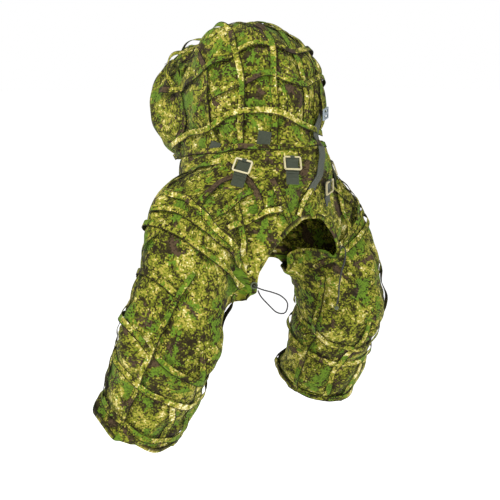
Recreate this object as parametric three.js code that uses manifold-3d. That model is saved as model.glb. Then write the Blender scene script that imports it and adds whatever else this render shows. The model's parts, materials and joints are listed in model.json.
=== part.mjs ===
// A ghillie suit: a camouflage hood on a short shoulder yoke with two full sleeves, covered with
// garnish strips, and worn over ordinary clothes. Millimetres, +Z up. The wearer faces -Y, with the
// left hand towards +X, and the origin is on the body's centre line at the base of the neck.
import * as THREE from "three";
import { mergeVertices } from "three/addons/utils/BufferGeometryUtils.js";
import Module from "manifold-3d";

const wasm = await Module();
wasm.setup();

// Driving dimensions.
const CLOTH = 3; // wall of every cloth panel
const GAP = 0.3; // clearance between pieces that touch
const SEAM = 1; // clearance between a panel and the binding sewn to its edge
const STRIP_WIDTH = 16; // garnish strip
const STRIP_THICK = 1.5;
const STRIP_LIFT = 3.2; // garnish strip's mid-plane above the cloth
const WEBBING_WIDTH = 24;
const WEBBING_THICK = 1.5;
const WEBBING_LIFT = 6.4; // webbing's mid-plane above the cloth, clear of the garnish strips
const BINDING = 9; // width of the bindings round hems, cuffs and face
const NECK_BACK_Y = 138; // the neck seam's rearmost point
const NECK_BACK_Z = 40;
const NECK_TILT = THREE.MathUtils.degToRad(6); // the seam runs down towards the throat
const FACE_Y = -262; // plane of the face opening
const CROWN_HALF = 45; // half width of the hood's middle panel
const SHOULDER_SEAM_Y = 5;
const BACK_HEM_Z = -252;
const FRONT_HEM_Z = -232;
const ARCH = { x: -10, z: -252, halfWidth: 126, height: 146 };
const BALL = 92; // sleeve head that turns inside the yoke's armhole
const ARMHOLE = 96;
const ARMHOLE_CLEARANCE = 8; // round a sleeve's tube, for the garnish strips on it
const ELBOW_BALL = 97; // forearm's head, which turns inside the upper sleeve's socket
const SOCKET = 100;
const SOCKET_FACETS = 20; // fine enough that the socket's flats stay clear of the forearm's head
const RAISE_MIN = -3; // degrees; how far a sleeve can drop from its hanging place

const v = (x, y, z) => new THREE.Vector3(x, y, z);
const X = v(1, 0, 0);
const Y = v(0, 1, 0);
const Z = v(0, 0, 1);

// Arm landmarks: shoulder, elbow and wrist, each arm hanging with its forearm a little forward.
const ARMS = {
  left: { side: 1, shoulder: v(185, 12, -112), elbow: v(262, 35, -335), wrist: v(290, -70, -520) },
  right: { side: -1, shoulder: v(-170, 12, -112), elbow: v(-210, 35, -335), wrist: v(-225, -55, -520) },
};
const SHOULDER_RADIUS = 84;
const ELBOW_RADIUS = 92;
const WRIST_RADIUS = 94;

// ---------------------------------------------------------------------------------------------
// Smooth body fields: negative inside, zero on the cloth's outer surface.

function ellipsoid(centre, radii, power) {
  const least = Math.min(radii.x, radii.y, radii.z);
  return (p) => {
    const sum =
      Math.abs((p.x - centre.x) / radii.x) ** power +
      Math.abs((p.y - centre.y) / radii.y) ** power +
      Math.abs((p.z - centre.z) / radii.z) ** power;
    return (sum ** (1 / power) - 1) * least;
  };
}

function capsule(a, b, radius) {
  const line = new THREE.Line3(a, b);
  const nearest = v(0, 0, 0);
  return (p) => line.closestPointToPoint(p, true, nearest).distanceTo(p) - radius;
}

function blend(f, g, k) {
  return (p) => {
    const a = f(p);
    const b = g(p);
    const h = THREE.MathUtils.clamp(0.5 + (0.5 * (b - a)) / k, 0, 1);
    return b * (1 - h) + a * h - k * h * (1 - h);
  };
}

const head = ellipsoid(v(0, -25, 140), v(150, 158, 164), 2);
const visorCentre = v(0, -180, 126);
const visor = ellipsoid(visorCentre, v(118, 120, 110), 2);
const collar = ellipsoid(v(0, -15, 20), v(130, 152, 85), 2);
const hoodField = blend(blend(head, collar, 50), visor, 50);
const HOOD_CENTRE = v(0, -60, 120);

const chest = ellipsoid(v(0, 0, -200), v(170, 138, 200), 2.6);
const shoulders = capsule(v(-150, 5, -112), v(160, 5, -112), 80);
const neck = ellipsoid(v(0, -15, 0), v(132, 152, 80), 2);
const yokeField = blend(blend(chest, shoulders, 60), neck, 50);
const YOKE_CENTRE = v(0, 0, -90);

function normalAt(field, p) {
  const step = 0.5;
  const slope = (axis) =>
    field(p.clone().addScaledVector(axis, step)) - field(p.clone().addScaledVector(axis, -step));
  return v(slope(X), slope(Y), slope(Z)).normalize();
}

// Where a ray leaves the surface of a field, lifted along the surface's normal there.
function station(field, origin, direction, lift = 0) {
  let near = 0;
  let far = 600;
  for (let i = 0; i < 32; i += 1) {
    const middle = (near + far) / 2;
    if (field(origin.clone().addScaledVector(direction, middle)) < 0) near = middle;
    else far = middle;
  }
  const point = origin.clone().addScaledVector(direction, near);
  const normal = normalAt(field, point);
  return { point: point.addScaledVector(normal, lift), normal };
}

// ---------------------------------------------------------------------------------------------
// Closed meshes and boolean solids.

function closedGeometry(points, triangles) {
  const geometry = new THREE.BufferGeometry();
  geometry.setAttribute("position", new THREE.Float32BufferAttribute(points.flatMap((p) => p.toArray()), 3));
  geometry.setIndex(triangles);
  return geometry;
}

function solidOf(geometry) {
  const bare = geometry.clone();
  bare.deleteAttribute("normal");
  bare.deleteAttribute("uv");
  const merged = mergeVertices(bare, 1e-4);
  return new wasm.Manifold(
    new wasm.Mesh({
      numProp: 3,
      vertProperties: new Float32Array(merged.attributes.position.array),
      triVerts: new Uint32Array(merged.index.array),
    }),
  );
}

function geometryOf(solid) {
  const mesh = solid.getMesh();
  const geometry = new THREE.BufferGeometry();
  geometry.setAttribute("position", new THREE.BufferAttribute(new Float32Array(mesh.vertProperties), 3));
  geometry.setIndex(new THREE.BufferAttribute(new Uint32Array(mesh.triVerts), 1));
  return geometry;
}

const join = (solids) => solids.reduce((whole, next) => whole.add(next));
const cut = (solid, tools) => tools.reduce((rest, tool) => rest.subtract(tool), solid);
// The largest piece of a solid, without the slivers that a cut leaves beside it.
const largest = (solid) => solid.decompose().sort((a, b) => b.volume() - a.volume())[0];

function box(low, high) {
  const size = high.clone().sub(low);
  const middle = high.clone().add(low).multiplyScalar(0.5);
  return solidOf(new THREE.BoxGeometry(size.x, size.y, size.z).translate(middle.x, middle.y, middle.z));
}

// Everything on the side of a plane that the normal points to.
function beyond(point, normal, reach = 900) {
  const turn = new THREE.Quaternion().setFromUnitVectors(Z, normal.clone().normalize());
  const block = new THREE.BoxGeometry(2 * reach, 2 * reach, reach).translate(0, 0, reach / 2);
  return solidOf(block.applyQuaternion(turn).translate(point.x, point.y, point.z));
}

function ball(centre, radius, across = 14) {
  return solidOf(
    new THREE.SphereGeometry(radius, across, Math.round(across * 0.6)).translate(centre.x, centre.y, centre.z),
  );
}

// A tapered round bar between two points.
function bar(a, b, radiusA, radiusB, sides = 14) {
  const along = b.clone().sub(a);
  const middle = a.clone().add(b).multiplyScalar(0.5);
  const turn = new THREE.Quaternion().setFromUnitVectors(Y, along.clone().normalize());
  const geometry = new THREE.CylinderGeometry(radiusB, radiusA, along.length(), sides);
  return solidOf(geometry.applyQuaternion(turn).translate(middle.x, middle.y, middle.z));
}

// A field's surface, sunk by a depth, as a closed solid found by rays from a centre inside it.
function fieldSolid(field, centre, depth, around, rows) {
  const points = [];
  const triangles = [];
  const aim = (column, row) => {
    const polar = (Math.PI * row) / rows;
    const turn = (2 * Math.PI * column) / around;
    return v(Math.sin(polar) * Math.sin(turn), -Math.sin(polar) * Math.cos(turn), Math.cos(polar));
  };
  const sunk = (direction) => station(field, centre, direction, -depth).point;
  points.push(sunk(Z));
  points.push(sunk(Z.clone().negate()));
  for (let row = 1; row < rows; row += 1) {
    for (let column = 0; column < around; column += 1) {
      points.push(sunk(aim(column, row)));
    }
  }
  const at = (column, row) => 2 + (row - 1) * around + (column % around);
  for (let column = 0; column < around; column += 1) {
    triangles.push(0, at(column, 1), at(column + 1, 1));
    triangles.push(1, at(column + 1, rows - 1), at(column, rows - 1));
    for (let row = 1; row < rows - 1; row += 1) {
      triangles.push(at(column, row), at(column, row + 1), at(column + 1, row + 1));
      triangles.push(at(column, row), at(column + 1, row + 1), at(column + 1, row));
    }
  }
  return solidOf(closedGeometry(points, triangles));
}

function shell(field, centre, around, rows) {
  const outside = fieldSolid(field, centre, 0, around, rows);
  const inside = fieldSolid(field, centre, CLOTH, around, rows);
  return outside.subtract(inside);
}

// ---------------------------------------------------------------------------------------------
// Flat strips that follow a path of { point, normal } stations.

function ribbon(stations, width, thick, loop = false) {
  const points = [];
  const triangles = [];
  const count = stations.length;
  const place = (i) => stations[loop ? (i + count) % count : THREE.MathUtils.clamp(i, 0, count - 1)].point;
  for (let i = 0; i < count; i += 1) {
    const { point, normal } = stations[i];
    const tangent = place(i + 1).clone().sub(place(i - 1)).normalize();
    const side = normal.clone().cross(tangent).normalize();
    const up = tangent.clone().cross(side).normalize();
    for (const [s, u] of [[-1, -1], [1, -1], [1, 1], [-1, 1]]) {
      points.push(point.clone().addScaledVector(side, (s * width) / 2).addScaledVector(up, (u * thick) / 2));
    }
  }
  const spans = loop ? count : count - 1;
  for (let i = 0; i < spans; i += 1) {
    const a = 4 * i;
    const b = 4 * ((i + 1) % count);
    for (let k = 0; k < 4; k += 1) {
      const next = (k + 1) % 4;
      triangles.push(a + k, a + next, b + next);
      triangles.push(a + k, b + next, b + k);
    }
  }
  if (!loop) {
    const last = 4 * (count - 1);
    triangles.push(0, 2, 1, 0, 3, 2);
    triangles.push(last, last + 1, last + 2, last, last + 2, last + 3);
  }
  return solidOf(closedGeometry(points, triangles));
}

// Stations on a field's surface, lifted to a level, for rays given by a function of t from 0 to 1.
function traced(field, lift, steps, ray, loop = false) {
  const stations = [];
  const count = loop ? steps : steps + 1;
  for (let i = 0; i < count; i += 1) {
    const { origin, direction } = ray(i / steps);
    stations.push(station(field, origin, direction, lift));
  }
  return stations;
}

const mix = THREE.MathUtils.lerp;
const rad = THREE.MathUtils.degToRad;

// ---------------------------------------------------------------------------------------------
// Materials.

const cloth = (colour) => new THREE.MeshStandardMaterial({ color: colour, roughness: 0.95, metalness: 0 });
const CAMO_A = cloth(0x6f7a35);
const CAMO_B = cloth(0x7d7a3c);
const CAMO_TAN = cloth(0xa79862);
const BINDING_CLOTH = cloth(0x5c6130);
const WEBBING = cloth(0x38463a);
const TAN_PLASTIC = new THREE.MeshStandardMaterial({ color: 0xa79b75, roughness: 0.55, metalness: 0 });
const GREEN_PLASTIC = new THREE.MeshStandardMaterial({ color: 0x3a4434, roughness: 0.5, metalness: 0 });
const GREY_PLASTIC = new THREE.MeshStandardMaterial({ color: 0x5f6a70, roughness: 0.45, metalness: 0 });
const ELASTIC = cloth(0x15161a);

const suit = new THREE.Group();

function piece(name, solid, material, parent = suit) {
  const mesh = new THREE.Mesh(geometryOf(solid), material);
  mesh.name = name;
  parent.add(mesh);
  return mesh;
}

// ---------------------------------------------------------------------------------------------
// The neck seam: the hood sits above it and the yoke below.

const neckNormal = v(0, -Math.sin(NECK_TILT), Math.cos(NECK_TILT));
const neckPoint = v(0, NECK_BACK_Y, NECK_BACK_Z);

function fromNeck(distance, up) {
  const side = up ? neckNormal.clone() : neckNormal.clone().negate();
  return beyond(neckPoint.clone().addScaledVector(neckNormal, distance), side);
}

function slab(axis, low, high) {
  const reach = 800;
  const a = v(-reach, -reach, -reach);
  const b = v(reach, reach, reach);
  a[axis] = low;
  b[axis] = high;
  return box(a, b);
}

// ---------------------------------------------------------------------------------------------
// Hood: two side panels, a crown panel over the head and a small one under the chin.

function hood() {
  const whole = cut(shell(hoodField, HOOD_CENTRE, 26, 16), [
    fromNeck(SEAM, false),
    beyond(v(0, FACE_Y, 0), Y.clone().negate()),
  ]);
  const inner = CROWN_HALF - GAP / 2;
  const outer = CROWN_HALF + GAP / 2;
  const middle = whole.intersect(slab("x", -inner, inner)).decompose();
  const [crown, chin] = middle.sort((a, b) => b.volume() - a.volume());
  piece("hood_left_panel", largest(whole.intersect(slab("x", outer, 400))), CAMO_A);
  piece("hood_right_panel", largest(whole.intersect(slab("x", -400, -outer))), CAMO_B);
  piece("hood_crown_panel", crown, CAMO_B);
  piece("hood_chin_panel", chin, CAMO_A);

  // The face binding is a band round the opening, just in front of the panels.
  const faceStations = [];
  const steps = 28;
  const faceCentre = v(0, FACE_Y - SEAM - BINDING / 2, visorCentre.z);
  for (let i = 0; i < steps; i += 1) {
    const turn = (2 * Math.PI * i) / steps;
    const normal = v(Math.sin(turn), 0, Math.cos(turn));
    const edge = station(hoodField, faceCentre, normal).point;
    faceStations.push({ point: edge.addScaledVector(normal, -CLOTH / 2), normal });
  }
  piece("hood_face_binding", ribbon(faceStations, BINDING, 4, true), BINDING_CLOTH);
}

// A ray from the middle of the hood: lateral tips it to the wearer's left, and rise runs from the
// face (0) over the crown (90) to the nape (180).
function overHead(lateral, rise) {
  const side = rad(lateral);
  const climb = rad(rise);
  return {
    origin: HOOD_CENTRE,
    direction: v(Math.sin(side), -Math.cos(side) * Math.cos(climb), Math.cos(side) * Math.sin(climb)),
  };
}

// A ray at a fixed elevation; turn runs from the face (0) round the wearer's left to the nape (180).
function roundHead(elevation, turn) {
  const up = rad(elevation);
  const round = rad(turn);
  return {
    origin: HOOD_CENTRE,
    direction: v(Math.cos(up) * Math.sin(round), -Math.cos(up) * Math.cos(round), Math.sin(up)),
  };
}

function hoodNet() {
  const strips = [-42, 0, 42].map((lateral) => {
    const path = traced(hoodField, STRIP_LIFT, 14, (t) => overHead(lateral, mix(32, 192, t)));
    return ribbon(path, STRIP_WIDTH, STRIP_THICK);
  });
  for (const [elevation, reach] of [[-2, 128], [38, 150]]) {
    const path = traced(hoodField, STRIP_LIFT, 18, (t) => roundHead(elevation, 180 + mix(-reach, reach, t)));
    strips.push(ribbon(path, STRIP_WIDTH, STRIP_THICK));
  }
  piece("hood_garnish_net", join(strips), CAMO_TAN);
}

// A patch of webbing on the hood, held flat to the cloth by its ends.
function webbingPatch(name, field, from, to, width, steps, endCut) {
  const path = traced(field, WEBBING_LIFT, steps, (t) => {
    const z = mix(from.z, to.z, t);
    const turn = rad(mix(from.turn, to.turn, t));
    return { origin: v(0, 0, z), direction: v(Math.cos(turn), Math.sin(turn), 0) };
  });
  let solid = ribbon(path, width, WEBBING_THICK);
  if (endCut) solid = solid.subtract(endCut(path[steps]));
  return piece(name, solid, WEBBING);
}

// ---------------------------------------------------------------------------------------------
// Sleeves. Each has an upper part whose round head turns in the armhole and whose lower end is a
// socket, and a forearm part whose round head turns in that socket.

function armFrame(arm) {
  const upper = arm.elbow.clone().sub(arm.shoulder).normalize();
  const fore = arm.wrist.clone().sub(arm.elbow).normalize();
  const hinge = upper.clone().cross(fore).normalize();
  // Directions in the plane of the bend that point to the back of the elbow.
  const upperBack = upper.clone().cross(hinge).normalize();
  const foreBack = fore.clone().cross(hinge).normalize();
  if (upperBack.dot(fore) > 0) upperBack.negate();
  if (foreBack.dot(upper) < 0) foreBack.negate();
  return { upper, fore, hinge, upperBack, foreBack };
}

// The plane through two points given as [along, back] pairs about the elbow.
function elbowPlane(elbow, along, back, p, q) {
  const at = ([a, b]) => elbow.clone().addScaledVector(along, a).addScaledVector(back, b);
  const across = at(q).sub(at(p));
  const normal = across.clone().cross(along.clone().cross(back)).normalize();
  if (normal.dot(along) < 0) normal.negate();
  return { point: at(p), normal };
}

function upperTube(arm, extra) {
  return bar(arm.shoulder, arm.elbow, SHOULDER_RADIUS + extra, ELBOW_RADIUS + extra);
}

function upperSleeve(name, arm) {
  const { upper, upperBack } = armFrame(arm);
  const outside = join([
    ball(arm.shoulder, BALL),
    upperTube(arm, 0),
    ball(arm.elbow, SOCKET + CLOTH, SOCKET_FACETS),
  ]);
  const inside = join([
    ball(arm.shoulder, BALL - CLOTH),
    upperTube(arm, -CLOTH),
    ball(arm.elbow, SOCKET, SOCKET_FACETS),
  ]);
  // The arm comes in through the head's inner side, which faces up and towards the neck.
  const lateral = upper.clone().cross(Y).normalize();
  if (lateral.x * arm.side < 0) lateral.negate();
  const lean = rad(53);
  const outward = upper.clone().multiplyScalar(Math.cos(lean)).addScaledVector(lateral, Math.sin(lean));
  const armPassage = beyond(arm.shoulder.clone().addScaledVector(outward, -55), outward.clone().negate());
  const rim = elbowPlane(arm.elbow, upper, upperBack, [35, 95], [-78, -90]);
  const sleeve = cut(outside, [inside, armPassage, beyond(rim.point, rim.normal)]);
  piece(`${name}_sleeve_upper`, largest(sleeve), CAMO_A);
}

function forearmSleeve(name, arm) {
  const { fore, foreBack } = armFrame(arm);
  const end = (extra) => arm.wrist.clone().addScaledVector(fore, extra);
  const outside = ball(arm.elbow, ELBOW_BALL).add(bar(arm.elbow, arm.wrist, ELBOW_RADIUS, WRIST_RADIUS));
  const inside = ball(arm.elbow, ELBOW_BALL - CLOTH).add(
    bar(arm.elbow, end(5), ELBOW_RADIUS - CLOTH, WRIST_RADIUS - CLOTH),
  );
  const rim = elbowPlane(arm.elbow, fore, foreBack, [-84, 48.5], [30, -92]);
  const sleeve = cut(outside, [inside, beyond(rim.point, rim.normal.clone().negate())]);
  piece(`${name}_sleeve_lower`, largest(sleeve), CAMO_B);

  const cuffCentre = end(SEAM + BINDING / 2);
  const cuff = hoop(cuffCentre, fore, foreBack, WRIST_RADIUS - CLOTH / 2, 20);
  piece(`${name}_cuff_binding`, ribbon(cuff, BINDING, 4, true), BINDING_CLOTH);
}

// Stations round a circle about an axis, starting from a reference direction.
function hoop(centre, axis, reference, radius, steps) {
  const stations = [];
  for (let i = 0; i < steps; i += 1) {
    const normal = reference.clone().applyAxisAngle(axis, (2 * Math.PI * i) / steps);
    stations.push({ point: centre.clone().addScaledVector(normal, radius), normal });
  }
  return stations;
}

// Garnish strips on a tapered sleeve: a ring, and lengthwise strips at angles from its back.
function sleeveNet(name, from, to, radii, back, span, ringAt, angles) {
  const axis = to.clone().sub(from);
  const length = axis.length();
  axis.normalize();
  const radiusAt = (t) => mix(radii[0], radii[1], t / length) + STRIP_LIFT;
  const centreAt = (t) => from.clone().addScaledVector(axis, t);
  const strips = [ribbon(hoop(centreAt(ringAt), axis, back, radiusAt(ringAt), 16), STRIP_WIDTH, STRIP_THICK, true)];
  for (const angle of angles) {
    const normal = back.clone().applyAxisAngle(axis, rad(angle));
    const steps = 3;
    const stations = [];
    for (let i = 0; i <= steps; i += 1) {
      const t = mix(span[0], span[1], i / steps);
      stations.push({ point: centreAt(t).addScaledVector(normal, radiusAt(t)), normal });
    }
    strips.push(ribbon(stations, STRIP_WIDTH, STRIP_THICK));
  }
  piece(name, join(strips), CAMO_TAN);
}

function sleeve(name, arm) {
  const { upperBack, foreBack } = armFrame(arm);
  upperSleeve(name, arm);
  forearmSleeve(name, arm);
  const upperRadii = [SHOULDER_RADIUS, ELBOW_RADIUS];
  const foreRadii = [ELBOW_RADIUS, WRIST_RADIUS];
  sleeveNet(`${name}_upper_garnish_net`, arm.shoulder, arm.elbow, upperRadii, upperBack, [52, 180], 112, [-60, 0, 60]);
  sleeveNet(`${name}_lower_garnish_net`, arm.elbow, arm.wrist, foreRadii, foreBack, [60, 205], 158, [-60, 0, 60]);
}

// ---------------------------------------------------------------------------------------------
// Yoke: a back panel with a wide arch, two front panels that meet under a placket, and bindings.

const archPoint = (turn, inset) =>
  v(
    ARCH.x + (ARCH.halfWidth - inset) * Math.cos(turn),
    0,
    ARCH.z + (ARCH.height - inset) * Math.sin(turn),
  );

function archOpening() {
  const outline = new THREE.Shape();
  outline.moveTo(ARCH.x + ARCH.halfWidth, ARCH.z - 60);
  const steps = 20;
  for (let i = 0; i <= steps; i += 1) {
    const p = archPoint((Math.PI * i) / steps, 0);
    outline.lineTo(p.x, p.z);
  }
  outline.lineTo(ARCH.x - ARCH.halfWidth, ARCH.z - 60);
  outline.closePath();
  const prism = new THREE.ExtrudeGeometry(outline, { depth: 260, bevelEnabled: false });
  // The outline's plane turns from XY to XZ, and the prism then reaches from the middle to the back.
  return solidOf(prism.rotateX(Math.PI / 2).translate(0, 265, 0));
}

function armholes() {
  return Object.values(ARMS).flatMap((arm) => {
    const dropped = { ...arm };
    dropped.elbow = arm.elbow
      .clone()
      .sub(arm.shoulder)
      .applyAxisAngle(Y, rad(-RAISE_MIN * arm.side))
      .add(arm.shoulder);
    return [
      ball(arm.shoulder, ARMHOLE, 20),
      upperTube(arm, ARMHOLE_CLEARANCE),
      upperTube(dropped, ARMHOLE_CLEARANCE),
    ];
  });
}

function yoke() {
  const whole = cut(shell(yokeField, YOKE_CENTRE, 30, 18), [
    fromNeck(-SEAM, true),
    ...armholes(),
  ]);
  const back = cut(whole.intersect(slab("y", SHOULDER_SEAM_Y + GAP / 2, 400)), [
    archOpening(),
    slab("z", -900, BACK_HEM_Z),
  ]);
  const front = cut(whole.intersect(slab("y", -400, SHOULDER_SEAM_Y - GAP / 2)), [slab("z", -900, FRONT_HEM_Z)]);
  piece("yoke_back_panel", largest(back), CAMO_A);
  piece("yoke_left_front_panel", largest(front.intersect(slab("x", 1, 400))), CAMO_B);
  piece("yoke_right_front_panel", largest(front.intersect(slab("x", -400, -1))), CAMO_A);

  const archPath = traced(yokeField, -CLOTH / 2, 18, (t) => ({
    origin: archPoint(Math.PI * mix(0.08, 0.92, t), SEAM + BINDING / 2),
    direction: Y,
  }));
  piece("back_arch_binding", ribbon(archPath, BINDING, 4), BINDING_CLOTH);
  for (const [name, side] of [["left", 1], ["right", -1]]) {
    const hem = traced(yokeField, -CLOTH / 2, 6, (t) => ({
      origin: v(side * mix(2, 84, t), 0, FRONT_HEM_Z - SEAM - BINDING / 2),
      direction: Y.clone().negate(),
    }));
    piece(`${name}_front_hem`, ribbon(hem, BINDING, 4), BINDING_CLOTH);
  }
  const placket = traced(yokeField, 2.2, 10, (t) => ({
    origin: v(0, 0, mix(-6, FRONT_HEM_Z + 4, t)),
    direction: Y.clone().negate(),
  }));
  piece("front_placket", ribbon(placket, 34, 2), CAMO_TAN);
}

function across(field, side, zs, xs, steps) {
  return traced(field, STRIP_LIFT, steps, (t) => ({
    origin: v(mix(xs[0], xs[1], t), 0, mix(zs[0], zs[1], t)),
    direction: v(0, side, 0),
  }));
}

function yokeNets() {
  const strip = (side, zs, xs) => ribbon(across(yokeField, side, zs, xs, 8), STRIP_WIDTH, STRIP_THICK);
  piece(
    "yoke_back_garnish_net",
    join([strip(1, [-70, -70], [-112, 112]), strip(1, [18, -150], [20, 118]), strip(1, [18, -150], [0, -122])]),
    CAMO_TAN,
  );
  piece(
    "left_front_garnish_net",
    join([strip(-1, [-60, -60], [24, 112]), strip(-1, [-10, -200], [44, 96])]),
    CAMO_TAN,
  );
  piece(
    "right_front_garnish_net",
    join([strip(-1, [-60, -60], [-24, -112]), strip(-1, [-10, -200], [-44, -96])]),
    CAMO_TAN,
  );
}

// ---------------------------------------------------------------------------------------------
// Ring buckles round the back of the collar: each is a flat rectangular ring that swings about its
// upper bar, held by a webbing tab with a small keeper round that bar.

const RING = { width: 38, height: 29, bar: 3.2 };
const RING_SITES = [
  { turn: 33, z: 10, tilt: -14 },
  { turn: 72, z: 16, tilt: -4 },
  { turn: 120, z: -36, tilt: 10 },
  { turn: 150, z: -8, tilt: 12 },
];
const KEEPER = { width: 8, outer: 12, bore: 2.9 };
const TAB_WIDTH = 28;
const TAB_STATIONS = [9, -10, -25, -40, -54]; // along the tab, from above the ring's bar to the tail's end

// A frame on the yoke's surface: origin on the cloth, Y outward, Z up the cloth, and X = Y x Z.
function surfaceFrame(field, turn, z, tilt, lift) {
  const direction = v(Math.cos(rad(turn)), Math.sin(rad(turn)), 0);
  const { point, normal: out } = station(field, v(0, 0, z), direction);
  const up = Z.clone().addScaledVector(out, -Z.dot(out)).normalize().applyAxisAngle(out, rad(tilt));
  const right = out.clone().cross(up);
  const frame = new THREE.Matrix4().makeBasis(right, out, up);
  frame.setPosition(point.clone().addScaledVector(out, lift));
  return frame;
}

function ringOutline(width, height, corner) {
  const w = width / 2;
  const shape = new THREE.Shape();
  shape.moveTo(-w + corner, 0);
  shape.lineTo(w - corner, 0);
  shape.lineTo(w, corner);
  shape.lineTo(w, height - corner);
  shape.lineTo(w - corner, height);
  shape.lineTo(-w + corner, height);
  shape.lineTo(-w, height - corner);
  shape.lineTo(-w, corner);
  shape.closePath();
  return shape;
}

function ringBuckle(index, site) {
  const lift = WEBBING_LIFT + WEBBING_THICK / 2 + KEEPER.outer / 2 - 1;
  const frame = surfaceFrame(yokeField, site.turn, site.z, site.tilt, lift);
  // Ring: its upper bar is centred on the frame's X axis and the rest hangs below it.
  const outline = ringOutline(RING.width, RING.height, 3);
  const hole = ringOutline(RING.width - 2 * RING.bar, RING.height - 2 * RING.bar, 1);
  outline.holes.push(new THREE.Path(hole.getPoints().map((p) => p.add(new THREE.Vector2(0, RING.bar)))));
  const ring = new THREE.ExtrudeGeometry(outline, { depth: RING.bar, bevelEnabled: false });
  ring.rotateX(Math.PI / 2).translate(0, RING.bar / 2, -RING.height + RING.bar / 2);
  piece(`ring_buckle_${index}`, solidOf(ring.applyMatrix4(frame)), TAN_PLASTIC);

  // Webbing tab, lying on the cloth under the ring, with the keeper standing on it.
  const stations = [];
  for (const down of TAB_STATIONS) {
    const aim = v(0, 0, down).applyMatrix4(frame);
    const direction = v(aim.x, aim.y, 0).normalize();
    stations.push(station(yokeField, v(0, 0, aim.z), direction, WEBBING_LIFT));
  }
  const tab = ribbon(stations, TAB_WIDTH, WEBBING_THICK);
  const loop = new THREE.Shape();
  const h = KEEPER.outer / 2;
  loop.moveTo(-h, -h);
  loop.lineTo(h, -h);
  loop.lineTo(h, h);
  loop.lineTo(-h, h);
  loop.closePath();
  const bore = new THREE.Path();
  bore.absarc(0, 0, KEEPER.bore, 0, 2 * Math.PI, true);
  loop.holes.push(bore);
  const keeper = new THREE.ExtrudeGeometry(loop, { depth: KEEPER.width, bevelEnabled: false, curveSegments: 12 });
  keeper.translate(0, 0, -KEEPER.width / 2).rotateY(Math.PI / 2).applyMatrix4(frame);
  piece(`ring_tab_${index}`, tab.add(solidOf(keeper)), WEBBING);
}

// ---------------------------------------------------------------------------------------------
// Chest buckles: a female half, a male half that slides out sideways, and the webbing under both.

const BUCKLE = { height: 24, thick: 8, female: 30, male: 25, wall: 1.8, prong: 13 };

function placed(frame, low, high) {
  const size = high.clone().sub(low);
  const middle = high.clone().add(low).multiplyScalar(0.5);
  const geometry = new THREE.BoxGeometry(size.x, size.y, size.z).translate(middle.x, middle.y, middle.z);
  return solidOf(geometry.applyMatrix4(frame));
}

function chestBuckle(name, z) {
  const lift = WEBBING_LIFT + WEBBING_THICK / 2 + 0.8;
  const surface = station(yokeField, v(0, 0, z), Y.clone().negate()).point;
  // Local X runs to the wearer's left, Y outward and Z down, so the frame stays right-handed.
  const frame = new THREE.Matrix4().makeBasis(X, Y.clone().negate(), Z.clone().negate());
  frame.setPosition(surface.x, surface.y - lift, surface.z);
  const h = BUCKLE.height / 2;
  const { thick, wall, female, male, prong } = BUCKLE;
  const body = cut(placed(frame, v(1, 0, -h), v(1 + female, thick, h)), [
    placed(frame, v(0, wall, -h + 2.6), v(20, thick - wall, h - 2.6)),
    placed(frame, v(8, wall, -h - 1), v(14, thick - wall, h + 1)),
    placed(frame, v(24, -1, -h + 2), v(27, thick + 1, h - 2)),
  ]);
  piece(`${name}_buckle_socket`, body, GREEN_PLASTIC);
  const slot = (low, high) => placed(frame, v(low, -1, -h + 2), v(high, thick + 1, h - 2));
  const base = cut(placed(frame, v(-male, 0.6, -h), v(0, thick - 0.6, h)), [slot(-22, -18.5), slot(-14, -10.5)]);
  const inset = wall + 0.5;
  const prongs = [-1, 1].map((side) => {
    const near = side * (h - 3.2);
    const far = side * (h - 6.6);
    const low = v(-1, inset, Math.min(near, far));
    const high = v(prong, thick - inset, Math.max(near, far));
    return placed(frame, low, high);
  });
  const tongue = placed(frame, v(-1, inset, -1.6), v(prong - 3, thick - inset, 1.6));
  piece(`${name}_buckle_prongs`, join([base, ...prongs, tongue]), GREEN_PLASTIC);
  for (const [side, sign] of [["left", 1], ["right", -1]]) {
    const path = traced(yokeField, WEBBING_LIFT, 8, (t) => ({
      origin: v(sign * mix(3, 112, t), 0, z),
      direction: Y.clone().negate(),
    }));
    piece(`${name}_webbing_${side}`, ribbon(path, 20, WEBBING_THICK), WEBBING);
  }
}

// ---------------------------------------------------------------------------------------------
// The strap from the hood's side slider, which hangs past the neck seam on to the yoke.

function hoodStrap() {
  const onHood = { from: { turn: 119, z: 80 }, to: { turn: 106, z: 46 } };
  webbingPatch("hood_strap", hoodField, onHood.from, onHood.to, WEBBING_WIDTH - 2, 4);
  const tipCut = (end) => beyond(end.point.clone().addScaledVector(Z, 8), v(0.55, 0, -1), 60);
  webbingPatch("hood_strap_tail", yokeField, { turn: 104, z: 30 }, { turn: 97, z: -52 }, WEBBING_WIDTH - 2, 6, tipCut);
  webbingPatch("hood_tab_back", hoodField, { turn: 50, z: 66 }, { turn: 48, z: 44 }, WEBBING_WIDTH, 2);
  webbingPatch("hood_tab_left", hoodField, { turn: 1, z: 46 }, { turn: 0, z: 33 }, WEBBING_WIDTH, 2);

  const frame = surfaceFrame(hoodField, 120, 104, 8, WEBBING_LIFT - 1);
  const half = v(17, 3, 12);
  const plate = placed(frame, v(-half.x, 0, -half.z), v(half.x, half.y, half.z));
  const slider = cut(plate, [
    placed(frame, v(-13, -1, -8.5), v(13, 5, -3)),
    placed(frame, v(-13, -1, 3), v(13, 5, 8.5)),
  ]);
  piece("hood_side_slider", slider, GREY_PLASTIC);
}

// ---------------------------------------------------------------------------------------------
// Elastic cords that come out of an eyelet at each foot of the back arch.

const CORD = 3;
const BEAD = 5;
const EYELET = { radius: 6, wire: 1.6 };

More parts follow.
